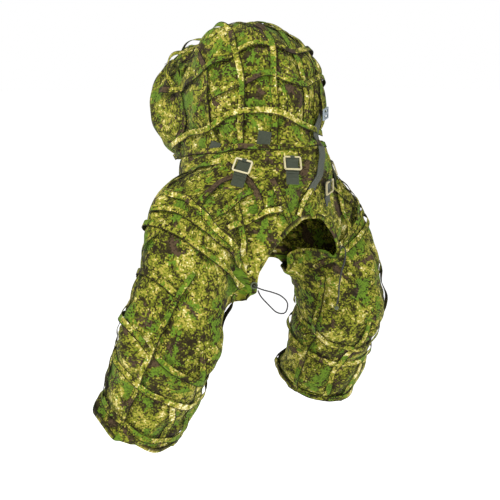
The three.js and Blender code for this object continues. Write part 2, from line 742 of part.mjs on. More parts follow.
function cordTube(name, points) {
  const route = new THREE.CatmullRomCurve3(points, false, "centripetal");
  const section = new THREE.Shape();
  const sides = 8;
  for (let i = 0; i < sides; i += 1) {
    const turn = (2 * Math.PI * i) / sides;
    const corner = [(CORD / 2) * Math.cos(turn), (CORD / 2) * Math.sin(turn)];
    if (i === 0) section.moveTo(...corner);
    else section.lineTo(...corner);
  }
  section.closePath();
  const steps = Math.round(route.getLength() / (2.6 * CORD));
  const geometry = new THREE.ExtrudeGeometry(section, { steps, bevelEnabled: false, extrudePath: route });
  piece(name, solidOf(geometry), ELASTIC);
}

function eyelet(name, centre, normal) {
  const { radius, wire } = EYELET;
  const profile = [];
  const sides = 8;
  for (let i = 0; i <= sides; i += 1) {
    const turn = (2 * Math.PI * i) / sides;
    profile.push(new THREE.Vector2(radius + wire * Math.cos(turn), wire * Math.sin(turn)));
  }
  profile[sides].copy(profile[0]);
  const geometry = new THREE.LatheGeometry(profile, 16);
  geometry.applyQuaternion(new THREE.Quaternion().setFromUnitVectors(Y, normal));
  piece(name, solidOf(geometry.translate(centre.x, centre.y, centre.z)), GREEN_PLASTIC);
}

// The centre of an eyelet that lies on the yoke's back at a given place.
function footEyelet(name, x, z) {
  const foot = station(yokeField, v(x, 0, z), Y, EYELET.wire + 2 * GAP);
  eyelet(name, foot.point, foot.normal);
  return foot;
}

function archCords() {
  const left = footEyelet("left_hem_eyelet", 124, -236);
  // The left cord leaves its eyelet, hangs in a loop and goes back in at the foot of the arch.
  cordTube("left_arch_cord", [
    left.point.clone().addScaledVector(left.normal, -1),
    left.point.clone().addScaledVector(left.normal, 8),
    v(118, 129, -243),
    v(98, 135, -250),
    v(72, 136, -262),
    v(55, 136, -280),
    v(60, 134, -298),
    v(78, 130, -296),
    v(96, 122, -278),
    v(109, 112, -259),
    v(110, 106, -249),
  ]);
  const right = footEyelet("right_hem_eyelet", -130, -186);
  // The right cord hangs down and ends in a bead.
  const bead = v(-117, 112, -318);
  const end = bead.clone().addScaledVector(Z, BEAD + 2 * GAP);
  cordTube("right_arch_cord", [
    right.point.clone().addScaledVector(right.normal, -1),
    right.point.clone().addScaledVector(right.normal, 8),
    v(-127, 127, -206),
    v(-119, 124, -236),
    v(-117, 119, -268),
    v(-121, 114, -294),
    end,
  ]);
  piece("right_cord_bead", ball(bead, BEAD, 10), GREEN_PLASTIC);
}

hood();
hoodNet();
yoke();
yokeNets();
for (const [name, arm] of Object.entries(ARMS)) sleeve(name, arm);
RING_SITES.forEach((site, i) => ringBuckle(i + 1, site));
chestBuckle("upper", -88);
chestBuckle("lower", -168);
hoodStrap();
archCords();

export default suit;
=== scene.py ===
import json
import math

import bmesh
import bpy
import numpy as np
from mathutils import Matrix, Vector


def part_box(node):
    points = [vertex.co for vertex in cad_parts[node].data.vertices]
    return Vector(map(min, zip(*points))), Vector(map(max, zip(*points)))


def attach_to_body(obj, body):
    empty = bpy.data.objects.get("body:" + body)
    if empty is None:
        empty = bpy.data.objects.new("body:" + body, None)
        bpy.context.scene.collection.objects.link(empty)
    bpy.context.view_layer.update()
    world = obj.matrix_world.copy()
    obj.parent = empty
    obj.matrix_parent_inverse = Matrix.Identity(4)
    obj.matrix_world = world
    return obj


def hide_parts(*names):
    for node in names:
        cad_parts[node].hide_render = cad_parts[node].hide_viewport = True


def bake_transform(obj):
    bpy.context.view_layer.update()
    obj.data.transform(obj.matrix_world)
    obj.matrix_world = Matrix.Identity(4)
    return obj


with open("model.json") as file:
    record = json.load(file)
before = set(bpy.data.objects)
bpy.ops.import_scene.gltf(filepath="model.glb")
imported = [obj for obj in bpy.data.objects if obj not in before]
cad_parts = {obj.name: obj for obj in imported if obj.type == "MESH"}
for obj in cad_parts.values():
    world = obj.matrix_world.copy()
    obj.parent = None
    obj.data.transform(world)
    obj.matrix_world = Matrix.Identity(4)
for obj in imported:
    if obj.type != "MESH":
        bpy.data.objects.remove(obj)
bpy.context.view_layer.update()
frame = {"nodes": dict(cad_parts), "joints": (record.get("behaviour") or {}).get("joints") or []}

import openvdb
from mathutils import Vector
from mathutils.bvhtree import BVHTree
from mathutils.kdtree import KDTree

NODES = frame["nodes"]
SCENE = bpy.context.scene
COLLECTION = SCENE.collection
RNG = np.random.default_rng(7)

# ---------------------------------------------------------------------------------------------
# Camera: behind the wearer's left shoulder and a little above it.

AIM = Vector((0, 0, -0.13))
VIEW_TURN = math.radians(137)
VIEW_RISE = math.radians(8)
VIEW_DISTANCE = 2.4
LENS = 80.35


def make_camera():
    back = Vector(
        (
            math.sin(VIEW_TURN) * math.cos(VIEW_RISE),
            -math.cos(VIEW_TURN) * math.cos(VIEW_RISE),
            math.sin(VIEW_RISE),
        )
    )
    data = bpy.data.cameras.new("camera")
    data.lens = LENS
    data.shift_x = -0.024
    data.shift_y = -0.056
    camera = bpy.data.objects.new("camera", data)
    camera.location = AIM + back * VIEW_DISTANCE
    camera.rotation_euler = back.to_track_quat("Z", "Y").to_euler()
    COLLECTION.objects.link(camera)
    SCENE.camera = camera


make_camera()

# ---------------------------------------------------------------------------------------------
# Lines through points.


def unit(a):
    return a / np.maximum(np.linalg.norm(a, axis=-1, keepdims=True), 1e-12)


def curve_through(points, spacing, power=0.5):
    """Evenly spaced points on a Catmull-Rom curve through the given ones."""
    p = np.array(points, float)
    if len(p) == 2:
        p = np.array([p[0], (p[0] + p[1]) / 2, p[1]])
    p = np.vstack([2 * p[0] - p[1], p, 2 * p[-1] - p[-2]])
    out = []
    for a, b, c, d in zip(p, p[1:], p[2:], p[3:]):
        knots = np.cumsum(
            [0] + [max(np.linalg.norm(y - x), 1e-9) ** power for x, y in ((a, b), (b, c), (c, d))]
        )
        t = np.linspace(knots[1], knots[2], 24, endpoint=False)[:, None]
        t0, t1, t2, t3 = knots
        a1 = (t1 - t) / (t1 - t0) * a + (t - t0) / (t1 - t0) * b
        a2 = (t2 - t) / (t2 - t1) * b + (t - t1) / (t2 - t1) * c
        a3 = (t3 - t) / (t3 - t2) * c + (t - t2) / (t3 - t2) * d
        b1 = (t2 - t) / (t2 - t0) * a1 + (t - t0) / (t2 - t0) * a2
        b2 = (t3 - t) / (t3 - t1) * a2 + (t - t1) / (t3 - t1) * a3
        out.append((t2 - t) / (t2 - t1) * b1 + (t - t1) / (t2 - t1) * b2)
    dense = np.vstack(out + [p[-2:-1]])
    run = np.concatenate([[0], np.cumsum(np.linalg.norm(np.diff(dense, axis=0), axis=1))])
    steps = max(2, round(run[-1] / spacing))
    at = np.linspace(0, run[-1], steps + 1)
    return np.stack([np.interp(at, run, dense[:, k]) for k in range(3)], -1)


# ---------------------------------------------------------------------------------------------
# Materials.


def linear(*rgb):
    return [((c / 255 + 0.055) / 1.055) ** 2.4 if c > 10 else c / 255 / 12.92 for c in rgb] + [1]


class Graph:
    """A short way to write a material's nodes."""

    def __init__(self, name):
        self.material = bpy.data.materials.new(name)
        self.material.use_nodes = True
        self.tree = self.material.node_tree
        self.shader = self.tree.nodes["Principled BSDF"]

    def put(self, socket, value):
        if isinstance(value, bpy.types.NodeSocket):
            self.tree.links.new(value, socket)
        elif value is not None:
            socket.default_value = value

    def node(self, kind, out=0, props=None, **inputs):
        n = self.tree.nodes.new("ShaderNode" + kind)
        for key, value in (props or {}).items():
            setattr(n, key, value)
        for key, value in inputs.items():
            socket = n.inputs[int(key[1:])] if key[0] == "i" and key[1:].isdigit() else n.inputs[key]
            self.put(socket, value)
        return n.outputs[out]

    def math(self, operation, a, b=None, c=None, clamp=False):
        return self.node("Math", props={"operation": operation, "use_clamp": clamp}, i0=a, i1=b, i2=c)

    def mix(self, share, a, b, blend="MIX"):
        n = self.tree.nodes.new("ShaderNodeMix")
        n.data_type = "RGBA"
        n.blend_type = blend
        self.put(n.inputs[0], share)
        self.put(n.inputs[6], a)
        self.put(n.inputs[7], b)
        return n.outputs[2]

    def ramp(self, value, stops, interpolation="LINEAR"):
        n = self.tree.nodes.new("ShaderNodeValToRGB")
        n.color_ramp.interpolation = interpolation
        while len(n.color_ramp.elements) < len(stops):
            n.color_ramp.elements.new(0.5)
        for element, (at, colour) in zip(n.color_ramp.elements, stops):
            element.position = at
            element.color = colour
        self.put(n.inputs[0], value)
        return n.outputs[0]

    def noise(self, vector, scale, detail=2.0, roughness=0.5, distortion=0.0):
        props = {"noise_dimensions": "3D"}
        return self.node(
            "TexNoise", 0, props, Vector=vector, Scale=scale, Detail=detail,
            Roughness=roughness, Distortion=distortion,
        )

    def bump(self, height, distance, strength=1.0, normal=None):
        return self.node("Bump", 0, None, Strength=strength, Distance=distance, Height=height, Normal=normal)

    def finish(self, colour, roughness, normal=None, **fixed):
        self.put(self.shader.inputs["Base Color"], colour)
        self.put(self.shader.inputs["Roughness"], roughness)
        self.put(self.shader.inputs["Normal"], normal)
        for key, value in fixed.items():
            self.shader.inputs[key.replace("_", " ")].default_value = value
        return self.material


PIXEL = 0.0027
PRINT = {
    "black": linear(24, 17, 11),
    "dark": linear(42, 38, 14),
    "olive": linear(86, 92, 20),
    "moss": linear(128, 132, 38),
    "straw": linear(164, 152, 66),
    "sand": linear(206, 194, 122),
    "cream": linear(236, 230, 178),
    "leaf": linear(92, 122, 30),
    "fern": linear(70, 94, 24),
    "bark": linear(74, 58, 44),
    "soil": linear(50, 38, 30),
}


def camouflage(name, shift=0.0, light=0.0, tone=False):
    g = Graph(name)
    uv = g.node("UVMap", props={"uv_map": "UVMap"})
    place = g.node("VectorMath", props={"operation": "ADD"}, i0=uv, i1=(shift, shift * 0.7, 0))
    snapped = g.node("VectorMath", props={"operation": "SNAP"}, i0=place, i1=(PIXEL, PIXEL, PIXEL))
    wide = g.noise(snapped, 16, 1.0)
    middle = g.noise(snapped, 75, 3.0, 0.7)
    pixel = g.node("TexWhiteNoise", 0, {"noise_dimensions": "3D"}, Vector=snapped)
    off = g.node("VectorMath", props={"operation": "ADD"}, i0=snapped, i1=(3.1, 1.7, 0.4))
    green = g.noise(off, 24, 3.0, 0.6)
    off2 = g.node("VectorMath", props={"operation": "ADD"}, i0=snapped, i1=(7.3, 4.9, 0.9))
    brown = g.noise(off2, 17, 4.0, 0.6, 0.6)
    dither = g.math("SUBTRACT", pixel, 0.5)
    level = g.math("MULTIPLY_ADD", g.math("SUBTRACT", wide, 0.5), 1.1, 0.455 + light)
    level = g.math("MULTIPLY_ADD", g.math("SUBTRACT", middle, 0.5), 1.6, level)
    level = g.math("MULTIPLY_ADD", dither, 0.38, level)
    if tone:
        bias = g.node("Attribute", 2, {"attribute_name": "tone"})
        level = g.math("ADD", bias, level)
    base = g.ramp(
        level,
        [
            (0.0, PRINT["black"]), (0.18, PRINT["dark"]), (0.36, PRINT["olive"]),
            (0.50, PRINT["moss"]), (0.64, PRINT["straw"]), (0.78, PRINT["sand"]),
            (0.93, PRINT["cream"]),
        ],
        "CONSTANT",
    )
    leaf = g.mix(g.math("GREATER_THAN", pixel, 0.45), PRINT["fern"], PRINT["leaf"])
    leafy = g.math("MULTIPLY_ADD", dither, 0.10, green)
    leafy = g.math("MULTIPLY_ADD", g.math("SUBTRACT", middle, 0.5), 0.2, leafy)
    base = g.mix(g.math("GREATER_THAN", leafy, 0.585), base, leaf)
    bark = g.mix(g.math("GREATER_THAN", pixel, 0.7), PRINT["bark"], PRINT["soil"])
    barky = g.math("MULTIPLY_ADD", dither, 0.07, brown)
    if tone:
        barky = g.math("MULTIPLY_ADD", bias, -0.5, barky)
    base = g.mix(g.math("GREATER_THAN", barky, 0.62), base, bark)
    # Fading, and a fine rip-stop grid with a plain weave in it.
    fade = g.noise(uv, 9, 3.0)
    base = g.mix(g.math("MULTIPLY", fade, 0.06), base, PRINT["straw"])
    threads = g.noise(uv, 900, 2.0, 0.7)
    grid = g.node("TexBrick", 1, {"offset": 0.0}, Vector=uv, Scale=1.0)
    brick = grid.node
    for key, value in (
        ("Mortar Size", 0.0003), ("Brick Width", 0.005), ("Row Height", 0.005), ("Mortar Smooth", 0.6)
    ):
        brick.inputs[key].default_value = value
    weave = g.node(
        "TexWave", 1, {"wave_type": "BANDS", "bands_direction": "DIAGONAL"}, Vector=uv, Scale=420.0
    )
    height = g.math(
        "MULTIPLY_ADD", weave, 0.25, g.math("MULTIPLY_ADD", threads, 0.7, g.math("MULTIPLY", grid, 0.5))
    )
    shade = g.ramp(threads, [(0.2, (0.78, 0.78, 0.78, 1)), (0.8, (1.12, 1.12, 1.12, 1))])
    base = g.mix(1.0, base, shade, "MULTIPLY")
    rumple = g.noise(uv, 70, 4.0, 0.6)
    normal = g.bump(height, 0.0004, 0.5)
    normal = g.bump(rumple, 0.0022, 0.65, normal)
    # With tone, a painted shadow: a near-black line along the raised edge and over the underside of each
    # strip and tape, where it stands off the cloth.
    if tone:
        edge = g.node("Attribute", 2, {"attribute_name": "edge"})
        line = g.math("MULTIPLY", edge, 1.6, clamp=True)
        base = g.mix(g.math("MULTIPLY", line, 0.85), base, PRINT["black"])
    rough = g.math("MULTIPLY_ADD", threads, 0.12, 0.82)
    return g.finish(base, rough, normal, Sheen_Weight=0.03, Sheen_Roughness=0.5, Specular_IOR_Level=0.12)


def webbing_material(name, colour, dark):
    """Ribbed webbing: u runs along it and v across it, in metres."""
    g = Graph(name)
    uv = g.node("UVMap", props={"uv_map": "UVMap"})
    ribs = g.node("TexWave", 1, {"wave_type": "BANDS", "bands_direction": "Y"}, Vector=uv, Scale=190.0)
    picks = g.node("TexWave", 1, {"wave_type": "BANDS", "bands_direction": "X"}, Vector=uv, Scale=330.0)
    fluff = g.noise(uv, 700, 3.0, 0.7)
    wear = g.noise(uv, 45, 4.0)
    base = g.mix(g.math("MULTIPLY_ADD", ribs, 0.5, g.math("MULTIPLY", picks, 0.3)), dark, colour)
    base = g.mix(g.math("MULTIPLY", wear, 0.16), base, linear(118, 122, 90))
    height = g.math(
        "MULTIPLY_ADD", ribs, 1.0, g.math("MULTIPLY_ADD", picks, 0.5, g.math("MULTIPLY", fluff, 0.5))
    )
    rough = g.math("MULTIPLY_ADD", fluff, 0.2, 0.6)
    return g.finish(base, rough, g.bump(height, 0.0005, 0.8), Sheen_Weight=0.15, Specular_IOR_Level=0.35)


def plastic_material(name, colour, worn):
    g = Graph(name)
    place = g.node("TexCoord", 3)
    mottled = g.noise(place, 60, 4.0)
    grain = g.noise(place, 2600, 3.0, 0.7)
    scuffs = g.noise(place, 180, 5.0, 0.75, 1.5)
    edges = g.ramp(g.node("NewGeometry", 7), [(0.5, (0, 0, 0, 1)), (0.62, (1, 1, 1, 1))])
    base = g.mix(g.math("MULTIPLY", mottled, 0.35), colour, worn)
    base = g.mix(g.math("MULTIPLY", edges, 0.55), base, worn)
    rough = g.math("MULTIPLY_ADD", scuffs, 0.35, 0.32)
    height = g.math("MULTIPLY_ADD", scuffs, 0.5, g.math("MULTIPLY", grain, 0.5))
    return g.finish(base, rough, g.bump(height, 0.0002, 0.5), Specular_IOR_Level=0.45)


def elastic_material():
    g = Graph("black_braided_elastic")
    uv = g.node("TexCoord", 3)
    braid = g.node(
        "TexWave", 1, {"wave_type": "BANDS", "bands_direction": "DIAGONAL"}, Vector=uv, Scale=380.0
    )
    braid2 = g.node("TexWave", 1, {"wave_type": "BANDS", "bands_direction": "Z"}, Vector=uv, Scale=520.0)
    fluff = g.noise(uv, 1500, 2.0)
    strands = g.math("MULTIPLY", braid, braid2)
    base = g.mix(strands, linear(12, 12, 13), linear(46, 46, 48))
    height = g.math("MULTIPLY_ADD", fluff, 0.3, strands)
    return g.finish(
        base, g.math("MULTIPLY_ADD", fluff, 0.2, 0.6), g.bump(height, 0.0005, 0.8), Sheen_Weight=0.2
    )


CLOTH = camouflage("printed_cloth")
NETTING = camouflage("printed_strips", 5.37, 0.05, tone=True)
BINDING = camouflage("printed_binding", 2.9, -0.03, tone=True)
WEBBING = webbing_material("green_webbing", linear(56, 66, 46), linear(28, 34, 25))
TAN = plastic_material("tan_plastic", linear(158, 148, 104), linear(196, 186, 146))
GREEN = plastic_material("green_plastic", linear(58, 66, 46), linear(96, 104, 78))
GREY = plastic_material("grey_plastic", linear(96, 108, 116), linear(150, 162, 170))
ELASTIC = elastic_material()


def put_object(name, points, faces, material, uv=None, attributes=None, normals=None):
    mesh = bpy.data.meshes.new(name)
    mesh.from_pydata(np.asarray(points).tolist(), [], [list(map(int, f)) for f in faces])
    mesh.polygons.foreach_set("use_smooth", [True] * len(mesh.polygons))
    if uv is not None:
        layer = mesh.uv_layers.new(name="UVMap")
        layer.data.foreach_set("uv", np.asarray(uv, np.float32).ravel())
    for key, values in (attributes or {}).items():
        mesh.attributes.new(key, "FLOAT", "POINT").data.foreach_set("value", np.asarray(values, np.float32))
    mesh.materials.append(material)
    mesh.update()
    if normals is not None:
        mesh.normals_split_custom_set_from_vertices(np.asarray(normals).tolist())
    made = bpy.data.objects.new(name, mesh)
    COLLECTION.objects.link(made)
    return made


# ---------------------------------------------------------------------------------------------
# The two elastic cords. Each repeats the route of its CAD solid.

CORD_RADIUS = 0.0015
CORDS = {
    "left_arch_cord": {
        "length": 0.2058,
        "far_end": "object",
        "with": [],
        "route": [
            (124.69, 110.49, -236.06), (129.89, 117.82, -236.53), (118, 129, -243),
            (98, 135, -250), (72, 136, -262), (55, 136, -280), (60, 134, -298), (78, 130, -296),
            (96, 122, -278), (109, 112, -259), (110, 106, -249),
        ],
    },
    "right_arch_cord": {
        "length": 0.1434,
        "far_end": "knot",
        "with": ["right_cord_bead"],
        "route": [
            (-130.67, 108.17, -186.09), (-135.69, 115.61, -186.79), (-127, 127, -206),
            (-119, 124, -236), (-117, 119, -268), (-121, 114, -294), (-117, 112, -312.4),
        ],
    },
}


def make_cord(name, facts):
    points = curve_through(np.array(facts["route"]) / 1000, facts["length"] / 34)
    data = bpy.data.curves.new(name, "CURVE")
    data.dimensions = "3D"
    data.bevel_depth = CORD_RADIUS
    data.bevel_resolution = 3
    data.use_fill_caps = True
    spline = data.splines.new("POLY")
    spline.points.add(len(points) - 1)
    for target, p in zip(spline.points, points):
        target.co = (*p, 1)
    data.materials.append(ELASTIC)
    made = bpy.data.objects.new(name + "_line", data)
    COLLECTION.objects.link(made)
    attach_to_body(made, "yoke")
    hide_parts(name)


for cord_name, cord_facts in CORDS.items():
    make_cord(cord_name, cord_facts)

# ---------------------------------------------------------------------------------------------
# The body's smooth fields: negative inside, zero on the cloth.


def ellipsoid(centre, radii, power=2.0):
    centre, radii = np.array(centre), np.array(radii)

    def field(p):
        q = np.abs((p - centre) / radii) ** power
        return (q.sum(-1) ** (1 / power) - 1) * radii.min()

    return field


def tapered_bar(a, b, radius_a, radius_b):
    a, b = np.array(a), np.array(b)
    ab = b - a

    def field(p):
        t = np.clip(((p - a) @ ab) / (ab @ ab), 0, 1)
        return np.linalg.norm(p - a - t[..., None] * ab, axis=-1) - (radius_a + (radius_b - radius_a) * t)

    return field


def smooth_min(a, b, k):
    h = np.clip(0.5 + 0.5 * (b - a) / k, 0, 1)
    return b * (1 - h) + a * h - k * h * (1 - h)


def joined(f, g, k):
    return lambda p: smooth_min(f(p), g(p), k)


SIDES = {"left": 1, "right": -1}
ARMS = {
    "left": [(0.185, 0.012, -0.112), (0.262, 0.035, -0.335), (0.290, -0.070, -0.520)],
    "right": [(-0.170, 0.012, -0.112), (-0.210, 0.035, -0.335), (-0.225, -0.055, -0.520)],
}
SHOULDER_RADIUS, ELBOW_RADIUS, WRIST_RADIUS = 0.084, 0.092, 0.094
NECK_POINT = np.array((0, 0.138, 0.040))
NECK_NORMAL = np.array((0, -math.sin(math.radians(6)), math.cos(math.radians(6))))
FACE_Y = -0.262
FRONT_HEM_Z = -0.232
ARCH = {"x": -0.010, "z": -0.252, "half": 0.126, "height": 0.146}
SHOULDER_SEAM_Y = 0.005
HOOD_CENTRE = np.array((0, -0.060, 0.120))
HEM_SPARE = 0.012
ARMHOLE = 0.055
GUSSET = 0.030

head = ellipsoid((0, -0.025, 0.140), (0.150, 0.158, 0.164))
visor = ellipsoid((0, -0.180, 0.126), (0.118, 0.120, 0.110))
collar = ellipsoid((0, -0.015, 0.020), (0.130, 0.152, 0.085))
hood_field = joined(joined(head, collar, 0.05), visor, 0.06)
chest = ellipsoid((0, 0, -0.200), (0.170, 0.138, 0.200), 2.6)
shoulders = tapered_bar((-0.150, 0.005, -0.112), (0.160, 0.005, -0.112), 0.080, 0.080)
neck = ellipsoid((0, -0.015, 0), (0.132, 0.152, 0.080))
yoke_field = joined(joined(chest, shoulders, 0.06), neck, 0.05)


class Arm:
    """A sleeve's bent centre line, and places on it by distance along and angle from its back."""

    BEND = 0.05

    def __init__(self, side):
        self.side = SIDES[side]
        self.s, self.e, self.w = (np.array(p) for p in ARMS[side])
        self.upper, self.fore = unit(self.e - self.s), unit(self.w - self.e)
        self.hinge = unit(np.cross(self.upper, self.fore))
        self.upper_back = np.cross(self.upper, self.hinge)
        self.fore_back = np.cross(self.fore, self.hinge)
        if self.upper_back @ self.fore > 0:
            self.upper_back = -self.upper_back
        if self.fore_back @ self.upper < 0:
            self.fore_back = -self.fore_back
        self.mean = unit(self.upper + self.fore)
        self.reach = np.linalg.norm(self.e - self.s)
        self.length = self.reach + np.linalg.norm(self.w - self.e)
        low = tapered_bar(self.s, self.e, SHOULDER_RADIUS, ELBOW_RADIUS)
        high = tapered_bar(self.e, self.w + 0.05 * self.fore, ELBOW_RADIUS, WRIST_RADIUS)
        self.field = joined(low, high, 0.02)

    def station(self, t):
        """Centre, axis and back direction at a distance t from the shoulder."""
        past = t - self.reach
        share = min(max((past + self.BEND) / (2 * self.BEND), 0), 1)
        share_smooth = share * share * (3 - 2 * share)
        axis = unit(self.upper * (1 - share_smooth) + self.fore * share_smooth)
        back = self.upper_back * (1 - share_smooth) + self.fore_back * share_smooth
        back = unit(back - (back @ axis) * axis)
        a, b = self.e - self.upper * self.BEND, self.e + self.fore * self.BEND
        if past <= -self.BEND:
            centre = self.e + self.upper * past
        elif past >= self.BEND:
            centre = self.e + self.fore * past
        else:
            centre = (1 - share) ** 2 * a + 2 * share * (1 - share) * self.e + share * share * b
        return centre, axis, back

    def inside_armhole(self, p):
        """Positive on the body's side of the armhole, negative along the sleeve."""
        return ARMHOLE - (p - self.s) @ self.upper

    def ray(self, t, degrees):
        centre, axis, back = self.station(t)
        turn = math.radians(degrees) * self.side
        return centre, unit(back * math.cos(turn) + np.cross(axis, back) * math.sin(turn))

    def place(self, p):
        """(distance along, angle from the back in radians) of points, the reverse of ray()."""
        past = (p - self.e) @ self.mean
        share = np.clip((past + self.BEND) / (2 * self.BEND), 0, 1)[..., None]
        share = share * share * (3 - 2 * share)
        axis = unit(self.upper * (1 - share) + self.fore * share)
        back = self.upper_back * (1 - share) + self.fore_back * share
        back = unit(back - (back * axis).sum(-1, keepdims=True) * axis)
        r = p - self.e
        angle = np.arctan2((np.cross(axis, back) * r).sum(-1), (back * r).sum(-1)) * self.side
        return past / (self.upper @ self.mean) + self.reach, angle


arms = {side: Arm(side) for side in ARMS}


def arms_field(p):
    return np.minimum(arms["left"].field(p), arms["right"].field(p))


def hem_field(p):
    """Positive where the yoke is cut away: under the front hem, and inside and under the back arch."""
    front = FRONT_HEM_Z - p[..., 2]
    u = (p[..., 0] - ARCH["x"]) / ARCH["half"]
    v = np.maximum(p[..., 2] - ARCH["z"], 0) / ARCH["height"]
    inside = (1 - np.sqrt(u * u + v * v)) * ARCH["half"]
    back = np.maximum(inside, ARCH["z"] - p[..., 2])
    share = np.clip((p[..., 1] - SHOULDER_SEAM_Y) / 0.03 + 0.5, 0, 1)
    return front * (1 - share) + back * share


def garment_field(p):
    clipped = np.maximum(yoke_field(p), hem_field(p) - HEM_SPARE)
    whole = smooth_min(hood_field(p), clipped, 0.018)
    for arm in arms.values():
        whole = smooth_min(whole, arm.field(p), 0.030)
    return whole


def slope(field, p, step=0.001):
    return np.stack([field(p + d) - field(p - d) for d in np.eye(3) * step], -1) / (2 * step)


def outward(p):
    return unit(slope(garment_field, np.asarray(p), 0.004))


# ---------------------------------------------------------------------------------------------
# The garment's mesh: the fields' surface, cut at the face, the cuffs and the yoke's hem.

VOXEL = 0.009


def lattice_surface():
    low = np.array((-0.345, -0.335, -0.62))
    high = np.array((0.415, 0.175, 0.335))
    counts = np.ceil((high - low) / VOXEL).astype(int)
    axes = [low[i] + VOXEL * np.arange(counts[i]) for i in range(3)]
    p = np.stack(np.meshgrid(*axes, indexing="ij"), -1)
    grid = openvdb.FloatGrid()
    grid.background = 1.0
    grid.copyFromArray(garment_field(p).astype(np.float32))
    points, quads = grid.convertToQuads(0.0)
    points = low + points.astype(float) * VOXEL
    for _ in range(2):
        g = slope(garment_field, points)
        points = points - g * (garment_field(points) / np.maximum((g * g).sum(-1), 0.1))[:, None]
    return points, quads[:, ::-1].astype(int)


def cut_levels():
    """Functions that are positive on what is cut away."""

    def face(p):
        return FACE_Y - p[:, 1]

    def cuff(arm):
        def level(p):
            past = (p - arm.w) @ arm.fore
            here = (p[:, 0] * arm.side > 0.1) & (p[:, 2] < -0.4)
            return np.where(here, past, -1.0)

        return level

    def hem(p):
        inner = np.minimum(*(arm.inside_armhole(p) for arm in arms.values()))
        return np.minimum(hem_field(p), np.maximum(arms_field(p) - GUSSET, inner))

    return [face, cuff(arms["left"]), cuff(arms["right"]), hem]


def trim(bm, level):
    """Cuts a mesh along a level's zero line, and drops the side where it is positive."""
    co = np.array([v.co for v in bm.verts])
    h = level(co)
    close = np.abs(h) < 0.28 * VOXEL
    g = np.stack([level(co + d) - level(co - d) for d in np.eye(3) * 0.001], -1) / 0.002
    size = (g * g).sum(-1)
    close &= size > 0.2
    co[close] -= (g * (h / np.maximum(size, 0.2))[:, None])[close]
    h[close] = 0
    for v, p in zip(bm.verts, co):
        v.co = p
    values = {v: float(x) for v, x in zip(bm.verts, h)}
    crossing = [e for e in bm.edges if values[e.verts[0]] * values[e.verts[1]] < 0]
    touched = {}
    for e in crossing:
        a, b = e.verts
        share = values[a] / (values[a] - values[b])
        touched.update(dict.fromkeys(e.link_faces))
        new = bmesh.utils.edge_split(e, a, share)[1]
        values[new] = 0.0
    for v in bm.verts:
        if values[v] == 0:
            touched.update(dict.fromkeys(v.link_faces))
    for f in list(touched):
        signs = [values[v] for v in f.verts]
        if min(signs) >= 0 or max(signs) <= 0:
            continue
        zero = [v for v in f.verts if values[v] == 0]
        if len(zero) >= 2 and not any(zero[1] in e.verts for e in zero[0].link_edges if e in f.edges):
            bmesh.utils.face_split(f, zero[0], zero[1])
    gone = [f for f in bm.faces if sum(values[v] for v in f.verts) > 0]
    bmesh.ops.delete(bm, geom=gone, context="FACES")


def keep_largest(bm):
    left = dict.fromkeys(bm.faces)
    islands = []
    while left:
        start = next(iter(left))
        del left[start]
        island, queue = [start], [start]
        while queue:
            f = queue.pop()
            for e in f.edges:
                for n in e.link_faces:
                    if n in left:
                        del left[n]
                        island.append(n)
                        queue.append(n)
        islands.append(island)
    islands.sort(key=len)
    for island in islands[:-1]:
        bmesh.ops.delete(bm, geom=island, context="FACES")
    bmesh.ops.delete(bm, geom=[v for v in bm.verts if not v.link_faces], context="VERTS")


def waves(p, length, count, seed):
    """A smooth random field with a given wavelength."""
    rng = np.random.default_rng(seed)
    directions = unit(
        rng.normal(size=(count, 3))
    ) * (2 * math.pi / length) * rng.uniform(0.7, 1.4, (count, 1))
    phases = rng.uniform(0, 2 * math.pi, count)
    return np.sin(p @ directions.T + phases).sum(-1) * math.sqrt(2 / count)


def creases(x):
    """Round ridges with sharp valleys between them, about zero on average."""
    return np.abs(np.sin(x)) - 0.64


def folds(p):
    """How far the cloth stands out from the body's form before it is simulated."""
    out = 0.0026 * waves(p, 0.13, 10, 1) + 0.0015 * waves(p, 0.06, 12, 2)
    x, y, z = p.T
    # The yoke's back is gathered between the neck and the arch.
    turn = np.arctan2(z - ARCH["z"], x - ARCH["x"])
    far = np.hypot(x - ARCH["x"], z - ARCH["z"]) - ARCH["half"]
    near_arch = np.exp(-np.maximum(far, 0) / 0.11)
    near_arch = near_arch * np.clip((y - 0.03) / 0.05, 0, 1) * np.clip((0.03 - z) / 0.05, 0, 1)
    out += 0.0140 * near_arch * creases(turn * 4.4 + 0.35 * waves(p, 0.16, 8, 3))
    for arm in arms.values():
        t, angle = arm.place(p)
        on_arm = np.clip(1 - arm.field(p) / 0.012, 0, 1) * (p[:, 0] * arm.side > 0.1)
        inner = 0.35 + 0.65 * (1 - np.cos(angle)) / 2
        s = t - arm.reach
        bend = np.exp(-((s / 0.075) ** 2)) * inner
        out += on_arm * 0.0105 * bend * creases(
            math.pi * s / 0.040 + 1.3 * np.sin(angle) + 0.5 * waves(p, 0.1, 8, 4)
        )
        pit = np.exp(-(((t - 0.075) / 0.06) ** 2)) * np.clip(-np.cos(angle + 0.9) + 0.3, 0, 1)
        out += on_arm * 0.0085 * pit * creases(2.6 * angle + 20 * t)
        low = np.exp(-(((t - arm.length) / 0.10) ** 2))
        out += on_arm * 0.0040 * low * creases(3.5 * angle + 18 * t + 0.6 * waves(p, 0.12, 8, 5))
    return out


CHEST_LEVELS = (-0.088, -0.168)


